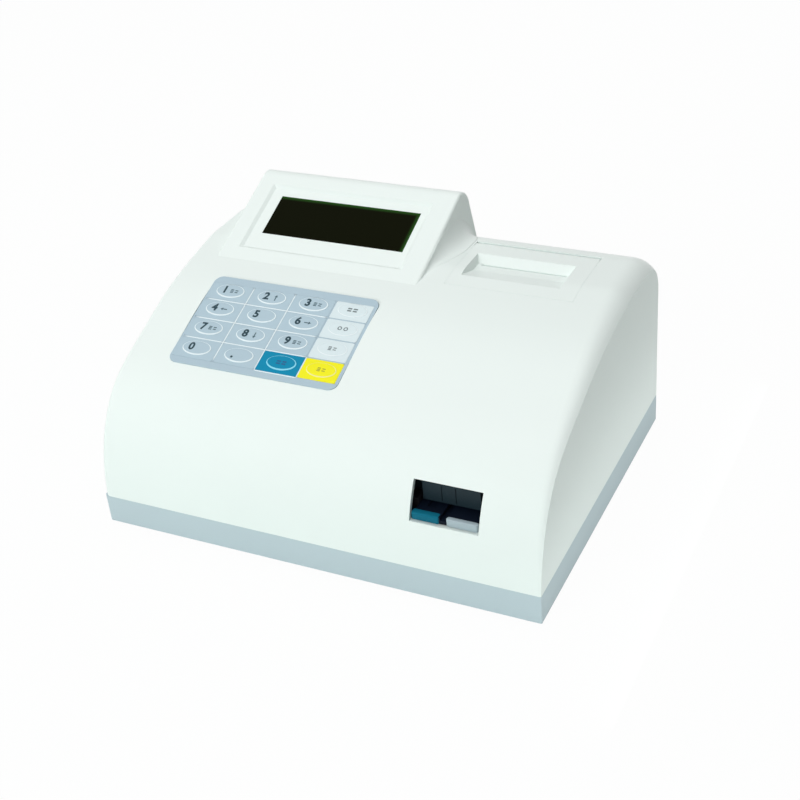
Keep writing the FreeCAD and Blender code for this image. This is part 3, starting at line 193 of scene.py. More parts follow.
def ring_solid(name: str, rings: np.ndarray) -> Piece:
    """Makes a closed solid from a stack of closed rings: neighbours are joined, the ends are fans.

    The faces are turned round where six times their volume, the sum of each face's first corner dotted
    with the cross product of the other two, comes out negative.

    Args:
        name: the new object's name.
        rings: an array of shape (rings, points, 3).

    Returns:
        The new object, with its faces pointing outwards.
    """
    count, around = rings.shape[:2]
    index = np.arange(count * around).reshape(count, around)
    ahead = np.roll(index, -1, axis=1)
    lower = np.stack([index[:-1], ahead[:-1], ahead[1:]], axis=-1).reshape(-1, 3)
    upper = np.stack([index[:-1], ahead[1:], index[1:]], axis=-1).reshape(-1, 3)
    first, last = count * around, count * around + 1
    bottom = np.stack([np.full(around, first), ahead[0], index[0]], axis=-1)
    top = np.stack([np.full(around, last), index[-1], ahead[-1]], axis=-1)
    vertices = np.vstack([rings.reshape(-1, 3), rings[0].mean(axis=0), rings[-1].mean(axis=0)])
    faces = np.vstack([lower, upper, bottom, top])
    corners = vertices[faces]
    volume = np.einsum("ij,ij->i", corners[:, 0], np.cross(corners[:, 1], corners[:, 2])).sum()
    return mesh_piece(name, vertices, faces if volume > 0 else faces[:, ::-1])


def rounded_outline(half_u: float, half_v: float, radius: float, steps: int) -> np.ndarray:
    """The outline of a rectangle with round corners, around the origin.

    Each corner's centre is moved out by the radius times the cosine and the sine of its angle.

    Args:
        half_u: half the width.
        half_v: half the height.
        radius: the corners' radius.
        steps: the number of points on each corner.

    Returns:
        An array of shape (4 * steps, 2), anticlockwise.
    """
    angle = np.linspace(0, math.pi / 2, steps)[None, :] + (np.arange(4) * math.pi / 2)[:, None]
    center_u = np.array([1, -1, -1, 1])[:, None] * (half_u - radius)
    center_v = np.array([1, 1, -1, -1])[:, None] * (half_v - radius)
    outline = np.stack([center_u + radius * np.cos(angle), center_v + radius * np.sin(angle)], axis=-1)
    return outline.reshape(-1, 2)


def smooth_step(t: np.ndarray) -> np.ndarray:
    """The cubic ease from 0 to 1: three t squared less two t cubed, held outside."""
    t = np.clip(t, 0.0, 1.0)
    return t * t * (3 - 2 * t)


def full_turn(count: int) -> np.ndarray:
    """Evenly spaced angles around a full turn, without the one that would repeat the first."""
    return np.linspace(0, 2 * math.pi, count, endpoint=False)


@dataclass(frozen=True)
class Slope:
    """A sloping plane of the housing: its low left corner, and its tilt about X.

    u runs along X, v up the slope and w out of the plane.
    """

    corner: Vector
    tilt: float

    def axes(self) -> tuple[np.ndarray, np.ndarray, np.ndarray]:
        """The unit vectors of u, v and w."""
        cosine, sine = math.cos(self.tilt), math.sin(self.tilt)
        return np.array([1.0, 0, 0]), np.array([0, cosine, sine]), np.array([0, -sine, cosine])

    def place(self, u: np.ndarray, v: np.ndarray, w: np.ndarray) -> np.ndarray:
        """Points of the row frame from coordinates on the slope.

        Args:
            u: distances along X.
            v: distances up the slope.
            w: heights above the plane.

        Returns:
            An array with one more axis than the inputs, holding X, Y and Z.
        """
        along, up, out = self.axes()
        u, v, w = np.broadcast_arrays(u, v, w)
        return np.array(self.corner) + u[..., None] * along + v[..., None] * up + w[..., None] * out

    def matrix(self) -> Matrix:
        """The slope's frame, for flat lettering.

        Returns:
            The matrix from u, v and w to X, Y and Z.
        """
        along, up, out = self.axes()
        turn = Matrix((along, up, out)).transposed().to_4x4()
        return Matrix.Translation(self.corner) @ turn


KEYPAD_CORNER: Point = (-0.1204, -0.0662, 0.1006)
KEYPAD_TILT = math.radians(19.9)
POD_CORNER: Point = (-0.134, 0.027, 0.1304)
POD_TILT = math.radians(22.0)


# ---------------------------------------------------------------- finishes


# The colour sockets of a Mix node: its two inputs and its result.
MIX_FIRST, MIX_SECOND, MIX_RESULT = 6, 7, 2


class Grain(Enum):
    """The kinds of fine surface that the mouldings, films and metals of the object have."""

    POLISHED = "polished"
    SATIN = "satin"
    SPARK = "spark"
    FILM = "film"
    BRUSHED = "brushed"
    FIBRE = "fibre"


@dataclass(frozen=True)
class Finish:
    """One finish: a colour with slight variation, a roughness and a fine relief.

    The noises of the colour (cloud) and of the roughness (wander) are given by their scale and detail.
    """

    name: str
    color: Color
    roughness: float = 0.4
    grain: Grain = Grain.SATIN
    metallic: float = 0.0
    coat: float = 0.0
    specular: float = 0.5
    variation: float = 0.03
    bump: float = 0.05
    scale: float = 900.0
    cloud: Pair = (14.0, 3.0)
    wander: Pair = (55.0, 4.0)
    wander_reach: float = 0.05
    smoothest: float = 0.02
    grain_detail: float = 2.0
    grain_depth: float = 0.0002
    spark_depth: float = 0.0004
    stretch: Point = (0.04, 1.0, 1.0)

    def material(self) -> bpy.types.Material:
        """Builds the finish as nodes on Object coordinates.

        Returns:
            The material, made once and then shared by name.
        """
        found = bpy.data.materials.get(self.name)
        if found:
            return found
        made = bpy.data.materials.new(self.name)
        made.use_nodes = True
        tree = made.node_tree
        shader = tree.nodes["Principled BSDF"]
        shader.inputs["Metallic"].default_value = self.metallic
        shader.inputs["Coat Weight"].default_value = self.coat
        shader.inputs["Specular IOR Level"].default_value = self.specular
        place = tree.nodes.new("ShaderNodeTexCoord").outputs["Object"]
        cloud = self._noise(tree, place, *self.cloud)
        shade = tree.nodes.new("ShaderNodeMix")
        shade.data_type = "RGBA"
        darker = [c * (1 - self.variation) for c in self.color]
        lighter = [min(1.0, c * (1 + self.variation)) for c in self.color]
        shade.inputs[MIX_FIRST].default_value = (*darker, 1)
        shade.inputs[MIX_SECOND].default_value = (*lighter, 1)
        tree.links.new(cloud, shade.inputs[0])
        tree.links.new(shade.outputs[MIX_RESULT], shader.inputs["Base Color"])
        self._roughness(tree, place, shader)
        self._relief(tree, place, shader)
        return made

    def _noise(self, tree: Tree, place: Socket, scale: float, detail: float) -> Socket:
        """A noise of the given scale.

        Args:
            tree: the node tree that the node goes into.
            place: the coordinates that the noise reads.
            scale: its scale.
            detail: its number of octaves.

        Returns:
            The socket with the noise's value.
        """
        noise = tree.nodes.new("ShaderNodeTexNoise")
        noise.inputs["Scale"].default_value = scale
        noise.inputs["Detail"].default_value = detail
        tree.links.new(place, noise.inputs["Vector"])
        return noise.outputs["Fac"]

    def _roughness(self, tree: Tree, place: Socket, shader: bpy.types.Node) -> None:
        """Lets the roughness wander a little over the surface.

        Args:
            tree: the node tree that the nodes go into.
            place: the coordinates that the noise reads.
            shader: the finish's shader.
        """
        spread = tree.nodes.new("ShaderNodeMapRange")
        spread.inputs["To Min"].default_value = max(self.smoothest, self.roughness - self.wander_reach)
        spread.inputs["To Max"].default_value = min(1.0, self.roughness + self.wander_reach)
        tree.links.new(self._noise(tree, place, *self.wander), spread.inputs["Value"])
        tree.links.new(spread.outputs["Result"], shader.inputs["Roughness"])

    def _relief(self, tree: Tree, place: Socket, shader: bpy.types.Node) -> None:
        """Adds the fine relief of the grain as a bump, drawn out along X on brushed and fibrous ones.

        Args:
            tree: the node tree that the nodes go into.
            place: the coordinates that the noise reads.
            shader: the finish's shader.
        """
        if self.grain is Grain.POLISHED:
            return
        source = place
        if self.grain in (Grain.BRUSHED, Grain.FIBRE):
            stretch = tree.nodes.new("ShaderNodeMapping")
            stretch.inputs["Scale"].default_value = self.stretch
            tree.links.new(place, stretch.inputs["Vector"])
            source = stretch.outputs["Vector"]
        height = self._noise(tree, source, self.scale, self.grain_detail)
        bump = tree.nodes.new("ShaderNodeBump")
        bump.inputs["Strength"].default_value = self.bump
        depth = self.spark_depth if self.grain is Grain.SPARK else self.grain_depth
        bump.inputs["Distance"].default_value = depth
        tree.links.new(height, bump.inputs["Height"])
        tree.links.new(bump.outputs["Normal"], shader.inputs["Normal"])


@dataclass(frozen=True)
class LensFinish(Finish):
    """The display's lens: near black, with a dark green sheen painted into its colour, a painted highlight that fades
    from its top and right edges.
    """

    # The colour of the painted sheen: a highlight painted along the lens's top and right edges.
    glow: Color = (0.020, 0.075, 0.012)
    corner: Point = POD_CORNER
    tilt: float = POD_TILT
    top: float = 0.0600
    right: float = 0.1300
    fade: float = 0.0035

    def material(self) -> bpy.types.Material:
        """Builds the finish and paints the sheen, a painted highlight, into its colour.

        The painted sheen's share is the larger of the two rises towards the lens's edges.

        Returns:
            The material, made once and then shared by name.
        """
        made = super().material()
        tree = made.node_tree
        color = tree.nodes["Principled BSDF"].inputs["Base Color"]
        if color.links[0].from_node.label == "sheen":
            return made
        rises = self._rises(tree)
        widest = tree.nodes.new("ShaderNodeMath")
        widest.operation = "MAXIMUM"
        tree.links.new(rises[0], widest.inputs[0])
        tree.links.new(rises[1], widest.inputs[1])
        sheen = tree.nodes.new("ShaderNodeMix")
        sheen.label = "sheen"
        sheen.data_type = "RGBA"
        sheen.inputs[MIX_SECOND].default_value = (*self.glow, 1)
        tree.links.new(widest.outputs[0], sheen.inputs[0])
        tree.links.new(color.links[0].from_socket, sheen.inputs[MIX_FIRST])
        tree.links.new(sheen.outputs[MIX_RESULT], color)
        return made

    def _rises(self, tree: Tree) -> list[Socket]:
        """Two smooth steps on the pod's slope that mask the painted sheen: one over the fade at the lens's right edge,
        one at its top.

        Args:
            tree: the node tree that the nodes go into.

        Returns:
            The sockets with the two values.
        """
        place = tree.nodes.new("ShaderNodeTexCoord").outputs["Object"]
        turn = tree.nodes.new("ShaderNodeMapping")
        turn.vector_type = "TEXTURE"
        turn.inputs["Location"].default_value = self.corner
        turn.inputs["Rotation"].default_value = (self.tilt, 0, 0)
        parts = tree.nodes.new("ShaderNodeSeparateXYZ")
        tree.links.new(place, turn.inputs["Vector"])
        tree.links.new(turn.outputs["Vector"], parts.inputs["Vector"])
        rises = []
        for axis, edge in (("X", self.right), ("Y", self.top)):
            ramp = tree.nodes.new("ShaderNodeMapRange")
            ramp.interpolation_type = "SMOOTHSTEP"
            ramp.inputs["From Min"].default_value = edge - self.fade
            ramp.inputs["From Max"].default_value = edge
            tree.links.new(parts.outputs[axis], ramp.inputs["Value"])
            rises.append(ramp.outputs["Result"])
        return rises


COVER = Finish("cover_moulding", (0.825, 0.90, 0.871), 0.34, Grain.SATIN, coat=0.12, variation=0.01,
               bump=0.02)
BASE = Finish("base_moulding", (0.49, 0.595, 0.635), 0.46, Grain.SPARK, variation=0.015, bump=0.10)
# The pale fill of the lid's gap and paper slot: painted light laid over the shade in them, near the cover's own
# colour.
PALE_GAP_FILL = Finish("pale_gap_fill", (0.80, 0.88, 0.855), 0.5, Grain.SATIN, variation=0.01, bump=0.02)
KEY_FILM_SCALE = 2600.0
FINISHES: dict[str, Finish] = {
    "cover": COVER,
    "base": BASE,
    "steel": Finish("plated_steel", (0.47, 0.48, 0.49), 0.32, Grain.BRUSHED, metallic=1.0, scale=400.0),
    "rubber": Finish("foot_rubber", (0.03, 0.03, 0.032), 0.75, Grain.SPARK, bump=0.2),
    # The lens: near black, with a painted sheen along its top and right edges.
    "window": LensFinish("display_lens", (0.0045, 0.0055, 0.0010), 0.12, Grain.POLISHED, specular=0.02),
    "glass": Finish("module_glass", (0.01, 0.02, 0.014), 0.08, Grain.POLISHED, coat=0.4),
    "circuit_board": Finish("solder_mask", (0.02, 0.13, 0.06), 0.35, Grain.SATIN, coat=0.3),
    "keypad": Finish("keypad_film", (0.41, 0.535, 0.61), 0.42, Grain.FILM, scale=KEY_FILM_SCALE),
    "key_grey": Finish("key_film_grey", (0.42, 0.55, 0.625), 0.42, Grain.FILM, scale=KEY_FILM_SCALE),
    "key_pale": Finish("key_film_pale", (0.69, 0.80, 0.825), 0.42, Grain.FILM, scale=KEY_FILM_SCALE),
    "key_blue": Finish("key_film_blue", (0.002, 0.245, 0.42), 0.40, Grain.FILM, specular=0.15,
                       scale=KEY_FILM_SCALE),
    "key_yellow": Finish("key_film_yellow", (0.90, 0.86, 0.008), 0.42, Grain.FILM, specular=0.3,
                         scale=KEY_FILM_SCALE),
    "black_plastic": Finish("black_moulding", (0.008, 0.008, 0.011), 0.5, Grain.SPARK, bump=0.15),
    "turquoise": Finish("strip_plate_moulding", (0.006, 0.14, 0.215), 0.45, Grain.SATIN, specular=0.08),
    "reference": Finish("reference_tile", (0.38, 0.47, 0.51), 0.35, Grain.SATIN),
    "gear_plastic": Finish("acetal", (0.74, 0.72, 0.65), 0.42, Grain.SATIN),
    "slate_plastic": Finish("reader_moulding", (0.010, 0.022, 0.029), 0.5, Grain.SPARK, specular=0.3,
                            bump=0.25),
    "paper": Finish("thermal_paper", (0.86, 0.86, 0.84), 0.6, Grain.FIBRE, bump=0.05),
    "cardboard": Finish("core_board", (0.36, 0.25, 0.15), 0.8, Grain.FIBRE, bump=0.2),
    "brass": Finish("cut_brass", (0.70, 0.52, 0.22), 0.28, Grain.BRUSHED, metallic=1.0),
    "ceramic": Finish("head_ceramic", (0.74, 0.70, 0.64), 0.22, Grain.SATIN, coat=0.3),
    "iron": Finish("laminations", (0.05, 0.05, 0.055), 0.45, Grain.BRUSHED, metallic=0.6),
    "panel_metal": Finish("panel_paint", (0.24, 0.27, 0.29), 0.42, Grain.SPARK, bump=0.15),
    "switch_plastic": Finish("switch_moulding", (0.012, 0.012, 0.014), 0.22, Grain.SATIN, coat=0.3),
}
# Painted shade: near black for the tray and its two plates inside the port, standing in for the port's shade; only the
# lips show the plates' own colours.
PORT_SHADE = Finish("painted_port_shade", (0.003, 0.006, 0.014), 0.55, Grain.SPARK, specular=0.15, bump=0.1)
# Pale colours of the keypad's beads. The first paints the straight beads between the keys and the painted highlight on
# the grey keys' oval rims; the other three paint only highlights, lighter copies of the pale, blue and yellow films.
PALE_LINE_AND_HIGHLIGHT = Finish("pale_line_and_painted_highlight", (0.80, 0.90, 0.93), 0.4, Grain.SATIN, variation=0.01)
HIGHLIGHT_WHITE = Finish("painted_highlight_white", (0.86, 0.93, 0.95), 0.4, Grain.SATIN, variation=0.01)
HIGHLIGHT_SKY = Finish("painted_highlight_sky", (0.25, 0.70, 0.86), 0.4, Grain.SATIN, variation=0.01)
HIGHLIGHT_LEMON = Finish("painted_highlight_lemon", (0.90, 0.88, 0.35), 0.4, Grain.SATIN, variation=0.01)
INK_DARK = Finish("dark_ink", (0.002, 0.030, 0.045), 0.5, Grain.SATIN, variation=0.05)
INK_SLATE = Finish("slate_ink", (0.055, 0.11, 0.135), 0.5, Grain.SATIN, variation=0.05)
INK_GREY = Finish("grey_ink", (0.16, 0.20, 0.21), 0.5, Grain.SATIN, variation=0.05)
INK_NAVY = Finish("navy_ink", (0.004, 0.085, 0.22), 0.5, Grain.SATIN, variation=0.05)
INK_OLIVE = Finish("olive_ink", (0.36, 0.36, 0.03), 0.5, Grain.SATIN, variation=0.05)
# The tray and its plates take the painted shade in place of their slots' finishes.
NODE_FINISHES: dict[str, Finish] = {node: PORT_SHADE
                                    for node in ("strip_plate", "reference_plate", "strip_tray")}
BODY_OF: dict[str, str] = {}


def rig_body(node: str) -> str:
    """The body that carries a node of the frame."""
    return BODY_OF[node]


def dress(piece: Piece, finish: Finish) -> None:
    """Gives a piece one finish on all its faces."""
    piece.data.materials.clear()
    piece.data.materials.append(finish.material())


# ---------------------------------------------------------------- the frame's solids


@dataclass
class FrameDress:
    """Dresses every solid of the frame by its slot in the record, apart from the tray and its plates, which take a
    painted shade.
    """

    record: dict
    nodes: dict[str, Piece]

    def dress(self) -> None:
        """Assigns each node the finish of its slot, or the painted shade for the tray and its plates."""
        for entry in self.record["subparts"]:
            node = self.nodes[entry["node"]]
            dress(node, NODE_FINISHES.get(entry["node"], FINISHES[entry["material_slot"]]))
            LOG.info("%s dressed as %s", entry["node"], entry["material_slot"])


# ---------------------------------------------------------------- flat ink


class Mark(Enum):
    """Small generic marks that stand on some keys."""

    NONE = "none"
    UP = "up"
    DOWN = "down"
    LEFT = "left"
    RIGHT = "right"
    LINES = "lines"
    RINGS = "rings"
    BLOCKS = "blocks"
    POINT = "point"

    def outlines(self) -> list[np.ndarray]:
        """The closed outlines of the mark around the origin, about four units wide.

        Returns:
            One array of points for each outline.
        """
        arrow = np.array([(-0.28, -1.8), (0.28, -1.8), (0.28, 0.5), (0.9, 0.5), (0.0, 1.9), (-0.9, 0.5),
                          (-0.28, 0.5)])
        turns = {Mark.UP: 0.0, Mark.DOWN: math.pi, Mark.LEFT: math.pi / 2, Mark.RIGHT: -math.pi / 2}
        if self in turns:
            cosine, sine = math.cos(turns[self]), math.sin(turns[self])
            return [arrow @ np.array([[cosine, sine], [-sine, cosine]])]
        if self is Mark.LINES:
            return [rounded_outline(0.85, 0.28, 0.1, 3) + np.array(at)
                    for at in ((-1.3, 0.85), (-1.3, 0.0), (-1.3, -0.85), (1.3, 0.6), (1.3, -0.6))]
        if self is Mark.RINGS:
            return [rounded_outline(half, half, half * 0.9, 6) + np.array(at)
                    for at in ((-1.6, 0.0), (1.6, 0.0)) for half in (1.15, 0.65)]
        if self is Mark.BLOCKS:
            return [rounded_outline(1.1, 0.42, 0.15, 3) + np.array(at)
                    for at in ((-1.5, 0.7), (-1.5, -0.7), (1.5, 0.7), (1.5, -0.7))]
        if self is Mark.POINT:
            return [rounded_outline(0.65, 0.65, 0.6, 6)]
        return []


@dataclass(frozen=True)
class Ink:
    """Lays thin closed printing on a slope."""

    slope: Slope
    lift: float
    thickness: float = 0.00003
    mark_unit: float = 0.00132
    font_share: float = 1.36
    bolder: float = 0.00032
    curve_steps: int = 6

    def digit(self, name: str, text: str, height: float, at: Pair) -> Piece:
        """A bold digit.

        Args:
            name: the new piece's name.
            text: the digit.
            height: its height in metres.
            at: its middle on the slope, in metres.

        Returns:
            The digit as a thin solid.
        """
        curve = bpy.data.curves.new(name, "FONT")
        curve.body = text
        curve.size = height * self.font_share
        curve.align_x, curve.align_y = "CENTER", "CENTER"
        curve.offset = self.bolder
        curve.resolution_u = self.curve_steps
        return self._solid(name, curve, at)

    def mark(self, name: str, mark: Mark, at: Pair) -> Piece:
        """A generic mark.

        Args:
            name: the new piece's name.
            mark: which mark.
            at: its middle on the slope, in metres.

        Returns:
            The mark as a thin solid.
        """
        curve = bpy.data.curves.new(name, "CURVE")
        curve.dimensions = "2D"
        for outline in mark.outlines():
            spline = curve.splines.new("POLY")
            spline.points.add(len(outline) - 1)
            flat = np.zeros((len(outline), 4))
            flat[:, :2] = outline * self.mark_unit
            flat[:, 3] = 1.0
            spline.points.foreach_set("co", flat.ravel())
            spline.use_cyclic_u = True
        curve.fill_mode = "BOTH"
        return self._solid(name, curve, at)

    def _solid(self, name: str, curve: bpy.types.Curve, at: Pair) -> Piece:
        """Turns a filled curve into a mesh and puts that mesh on the slope.

        Args:
            name: the new piece's name.
            curve: the curve, flat around the origin.
            at: its middle on the slope, in metres.

        Returns:
            The curve's area as a thin solid.
        """
        curve.extrude = self.thickness
        shape = bpy.data.objects.new(name + "_outline", curve)
        bpy.context.scene.collection.objects.link(shape)
        mesh = bpy.data.meshes.new_from_object(shape)
        bpy.data.objects.remove(shape)
        mesh.transform(self.slope.matrix() @ Matrix.Translation((at[0], at[1], self.lift)))
        piece = bpy.data.objects.new(name, mesh)
        bpy.context.scene.collection.objects.link(piece)
        return piece


# ---------------------------------------------------------------- the keypad


@dataclass(frozen=True)
class KeyFace:
    """What one key shows: its node, its column and row, its print, its film, its inks, and the finish and width of the
    painted highlight on its oval's rim.
    """

    node: str
    column: int
    row: int
    digit: str = ""
    mark: Mark = Mark.NONE
    slot: str = "key_grey"
    ink: Finish = INK_DARK
    ring: Finish = PALE_LINE_AND_HIGHLIGHT
    highlight_width: float = 0.00062


KEYS: tuple[KeyFace, ...] = (
    KeyFace("key_1", 0, 3, "1", Mark.LINES), KeyFace("key_2", 1, 3, "2", Mark.UP),
    KeyFace("key_3", 2, 3, "3", Mark.LINES), KeyFace("key_4", 0, 2, "4", Mark.LEFT),
    KeyFace("key_5", 1, 2, "5"), KeyFace("key_6", 2, 2, "6", Mark.RIGHT),
    KeyFace("key_7", 0, 1, "7", Mark.LINES), KeyFace("key_8", 1, 1, "8", Mark.DOWN),
    KeyFace("key_9", 2, 1, "9", Mark.LINES), KeyFace("key_0", 0, 0, "0"),
    KeyFace("key_plain", 1, 0, "", Mark.POINT),
    KeyFace("key_pale_upper", 3, 3, "", Mark.BLOCKS, "key_pale", INK_GREY, HIGHLIGHT_WHITE, 0.0003),
    KeyFace("key_pale_middle", 3, 2, "", Mark.RINGS, "key_pale", INK_GREY, HIGHLIGHT_WHITE, 0.0003),
    KeyFace("key_pale_lower", 3, 1, "", Mark.LINES, "key_pale", INK_GREY, HIGHLIGHT_WHITE, 0.0003),
    KeyFace("key_blue", 2, 0, "", Mark.BLOCKS, "key_blue", INK_NAVY, HIGHLIGHT_SKY, 0.0007),
    KeyFace("key_yellow", 3, 0, "", Mark.LINES, "key_yellow", INK_OLIVE, HIGHLIGHT_LEMON, 0.0005),
)


@dataclass
class Keypad:
    """The key films with their raised ovals, the painted highlights on the ovals' rims, the beads between them, and
    the print.

    The columns' and rows' limits and the ovals' middles are distances on the slope. Each of the
    oval's steps is an inset from its outline and a share of its rise.
    """

    slope: Slope
    columns: tuple[float, ...] = (0.0010, 0.0317, 0.0628, 0.0930, 0.1204)
    rows: tuple[float, ...] = (0.0046, 0.0215, 0.0384, 0.0549, 0.0700)
    oval_u: tuple[float, ...] = (0.0158, 0.0474, 0.0784, 0.1068)
    oval_v: tuple[float, ...] = (0.0137, 0.0311, 0.0479, 0.0638)
    oval_half: Pair = (0.0101, 0.0054)
    film_edge: float = 0.00045
    film_low: float = 0.00096
    film_top: float = 0.00110
    oval_rise: float = 0.00022
    digit_height: float = 0.0059
    print_lift: float = 0.00001
    digit_shift: Pair = (-0.0040, 0.0003)
    mark_shift: Pair = (0.0030, 0.0)
    point_shift: Pair = (-0.0044, -0.0022)
    plate_power: float = 40.0
    shoulder_power: float = 30.0
    oval_power: float = 2.0
    edge_drop: float = 0.00005
    edge_inset: float = 0.00006
    shoulder_inset: float = 0.0004
    oval_steps: tuple[Pair, ...] = ((-0.0004, 0.0), (0.0, 0.15), (0.0004, 0.85), (0.0008, 1.0),
                                    (0.0022, 1.0))
    oval_points: int = 96
    # The painted highlight on each oval's rim: its thinnest share, the turn that puts its widest part on the low side,
    # and its section's flatness.
    rim_thin: float = 0.16
    rim_turn: float = 1.25
    rim_flatness: float = 0.4
    bead_half: float = 0.00043
    bead_flatness: float = 0.3
    bead_middle: float = 0.00104
    bead_left: float = 0.0024
    bead_foot: float = 0.0062
    bead_short: float = 0.0002
    bead_power: int = 40
    bead_share: float = 0.999
    bead_steps: int = 33
    section_points: int = 10
    pieces: list[Piece] = field(default_factory=list)

    def build(self) -> None:
        """Adds every key's film and print, and the beads of the overlay."""
        for face in KEYS:
            self._key(face)
        self._beads()
        LOG.info("keypad built from %d pieces", len(self.pieces))

    def _place(self, piece: Piece, finish: Finish, body: str, slot: str) -> None:
        """Dresses a piece and makes it ride.

        Args:
            piece: the new piece.
            finish: its finish.
            body: the body that carries it.
            slot: its material slot.
        """
        dress(piece, finish)
        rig.ride(piece, body)
        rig.slot(piece, slot)
        self.pieces.append(piece)
        LOG.info("%s rides on %s", piece.name, body)

    def _key(self, face: KeyFace) -> None:
        """Builds one key's film, the bead of painted highlight on its oval's rim, and its print.

        Args:
            face: what the key shows.
        """
        center = (self.oval_u[face.column], self.oval_v[face.row])
        self._place(self._film(face, center), FINISHES[face.slot], face.node, face.slot)
        self._place(self._bead(face, center), face.ring, face.node, face.slot)
        ink = Ink(self.slope, self.film_top + self.oval_rise + self.print_lift)
        if face.digit:
            at = (center[0] + self.digit_shift[0], center[1] + self.digit_shift[1])
            self._place(ink.digit("digit_" + face.node, face.digit, self.digit_height, at),
                        face.ink, face.node, face.slot)
        if face.mark is not Mark.NONE:
            shift = self._shift(face)
            at = (center[0] + shift[0], center[1] + shift[1])
            self._place(ink.mark("mark_" + face.node, face.mark, at), INK_SLATE if face.digit else face.ink,
                        face.node, face.slot)

    def _shift(self, face: KeyFace) -> Pair:
        """How far a key's mark stands from the oval's middle.

        Args:
            face: what the key shows.

        Returns:
            The distances along u and v: low on the left for a point, beside a digit, or none.
        """
        if face.mark is Mark.POINT:
            return self.point_shift
        return self.mark_shift if face.digit else (0.0, 0.0)

    def _film(self, face: KeyFace, center: Pair) -> Piece:
        """A key's film: a rounded plate whose top swells to a raised oval.

        Every ring is a superellipse: its point at the angle t lies in the direction (a cos t, b sin t),
        at the distance that makes |cos t|^n + |sin t|^n one. The plate's rings have a high n, the
        oval's have n = 2, and the heights step up over the plate's edge and then over the oval's rim.

        Args:
            face: what the key shows.
            center: the oval's middle on the slope.

        Returns:
            The film as a closed solid.
        """
        low_u, low_v = self.columns[face.column] + self.film_edge, self.rows[face.row] + self.film_edge
        high_u = self.columns[face.column + 1] - self.film_edge
        high_v = self.rows[face.row + 1] - self.film_edge
        plate = ((low_u + high_u) / 2, (low_v + high_v) / 2, (high_u - low_u) / 2, (high_v - low_v) / 2)
        oval = (*center, *self.oval_half)
        levels = [(plate, self.plate_power, 0.0, self.film_low),
                  (plate, self.plate_power, 0.0, self.film_top - self.edge_drop),
                  (plate, self.plate_power, self.edge_inset, self.film_top),
                  (plate, self.shoulder_power, self.shoulder_inset, self.film_top)]
        levels += [(oval, self.oval_power, inset, self.film_top + share * self.oval_rise)
                   for inset, share in self.oval_steps]
        t = full_turn(self.oval_points)
        rings = []
        for (middle_u, middle_v, wide, high), power, inset, height in levels:
            reach = (np.abs(np.cos(t)) ** power + np.abs(np.sin(t)) ** power) ** (-1 / power)
            rings.append(self.slope.place(middle_u + (wide - inset) * reach * np.cos(t),
                                          middle_v + (high - inset) * reach * np.sin(t), np.array(height)))
        return ring_solid("film_" + face.node, np.array(rings))

    def _bead(self, face: KeyFace, center: Pair) -> Piece:
        """A painted highlight, the bright crescent on an oval's rim: a pale bead around the oval that swells towards
        its low side.

        The bead's half width is a thin base plus a smooth share that follows the cosine of the angle
        from its widest point, and its section is an ellipse, flat on the film.

        Args:
            face: what the key shows.
            center: the oval's middle on the slope.

        Returns:
            The bead as a closed solid.
        """
        t = full_turn(self.oval_points)[:, None]
        s = full_turn(self.section_points)[None, :]
        # The painted highlight is widest towards the low side of the oval.
        swell = smooth_step(0.5 + 0.5 * np.cos(t + self.rim_turn))
        half = face.highlight_width * (self.rim_thin + (1 - self.rim_thin) * swell)
        half_u, half_v = self.oval_half
        u = center[0] + (half_u + half * np.cos(s)) * np.cos(t)
        v = center[1] + (half_v + half * np.cos(s)) * np.sin(t)
        w = self.film_top + 0.5 * self.oval_rise + self.rim_flatness * half * np.sin(s)
        return grid_mesh("rim_" + face.node, self.slope.place(u, v, w), close_u=True, close_v=True)

    def _beads(self) -> None:
        """The straight pale beads between the grey keys, and around the blue one."""
        columns, rows = self.columns, self.rows
        left, right = self.bead_left, columns[3] - self.bead_short
        top = rows[4] - self.bead_short
        spans = [("row_bead_%d" % row, (left, rows[row]), (right, rows[row])) for row in (1, 2, 3)]
        spans += [("column_bead_1", (columns[1], self.bead_foot), (columns[1], top)),
                  ("column_bead_2", (columns[2], rows[0]), (columns[2], top)),
                  ("column_bead_3", (columns[3], rows[0]), (columns[3], rows[1])),
                  ("row_bead_0", (columns[2], rows[0]), (columns[3], rows[0]))]
        for name, start, end in spans:
            self._place(self._line(name, start, end), PALE_LINE_AND_HIGHLIGHT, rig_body("keypad_overlay"), "keypad")

    def _line(self, name: str, start: Pair, end: Pair) -> Piece:
        """A straight bead with an elliptic section that narrows to rounded ends.

        The centre line runs from start to end, and the half width is the full one times the square
        root of one less a high power of the distance from the middle, as a share of the half run.

        Args:
            name: the new piece's name.
            start: the bead's first end on the slope.
            end: its other end.

        Returns:
            The bead as a closed solid.
        """
        run = np.linspace(-1, 1, self.bead_steps)
        middle = (np.array(start) + np.array(end)) / 2
        along = (np.array(end) - np.array(start)) / 2
        across = np.array([-along[1], along[0]]) / np.linalg.norm(along)
        half = self.bead_half * np.sqrt(1 - (self.bead_share * run) ** self.bead_power)
        s = full_turn(self.section_points)
        flat = middle + run[:, None, None] * along + (half[:, None] * np.cos(s))[..., None] * across
        height = self.bead_middle + (half[:, None] * self.bead_flatness) * np.sin(s)
        return ring_solid(name, self.slope.place(flat[..., 0], flat[..., 1], height))


# ---------------------------------------------------------------- the moulded cover


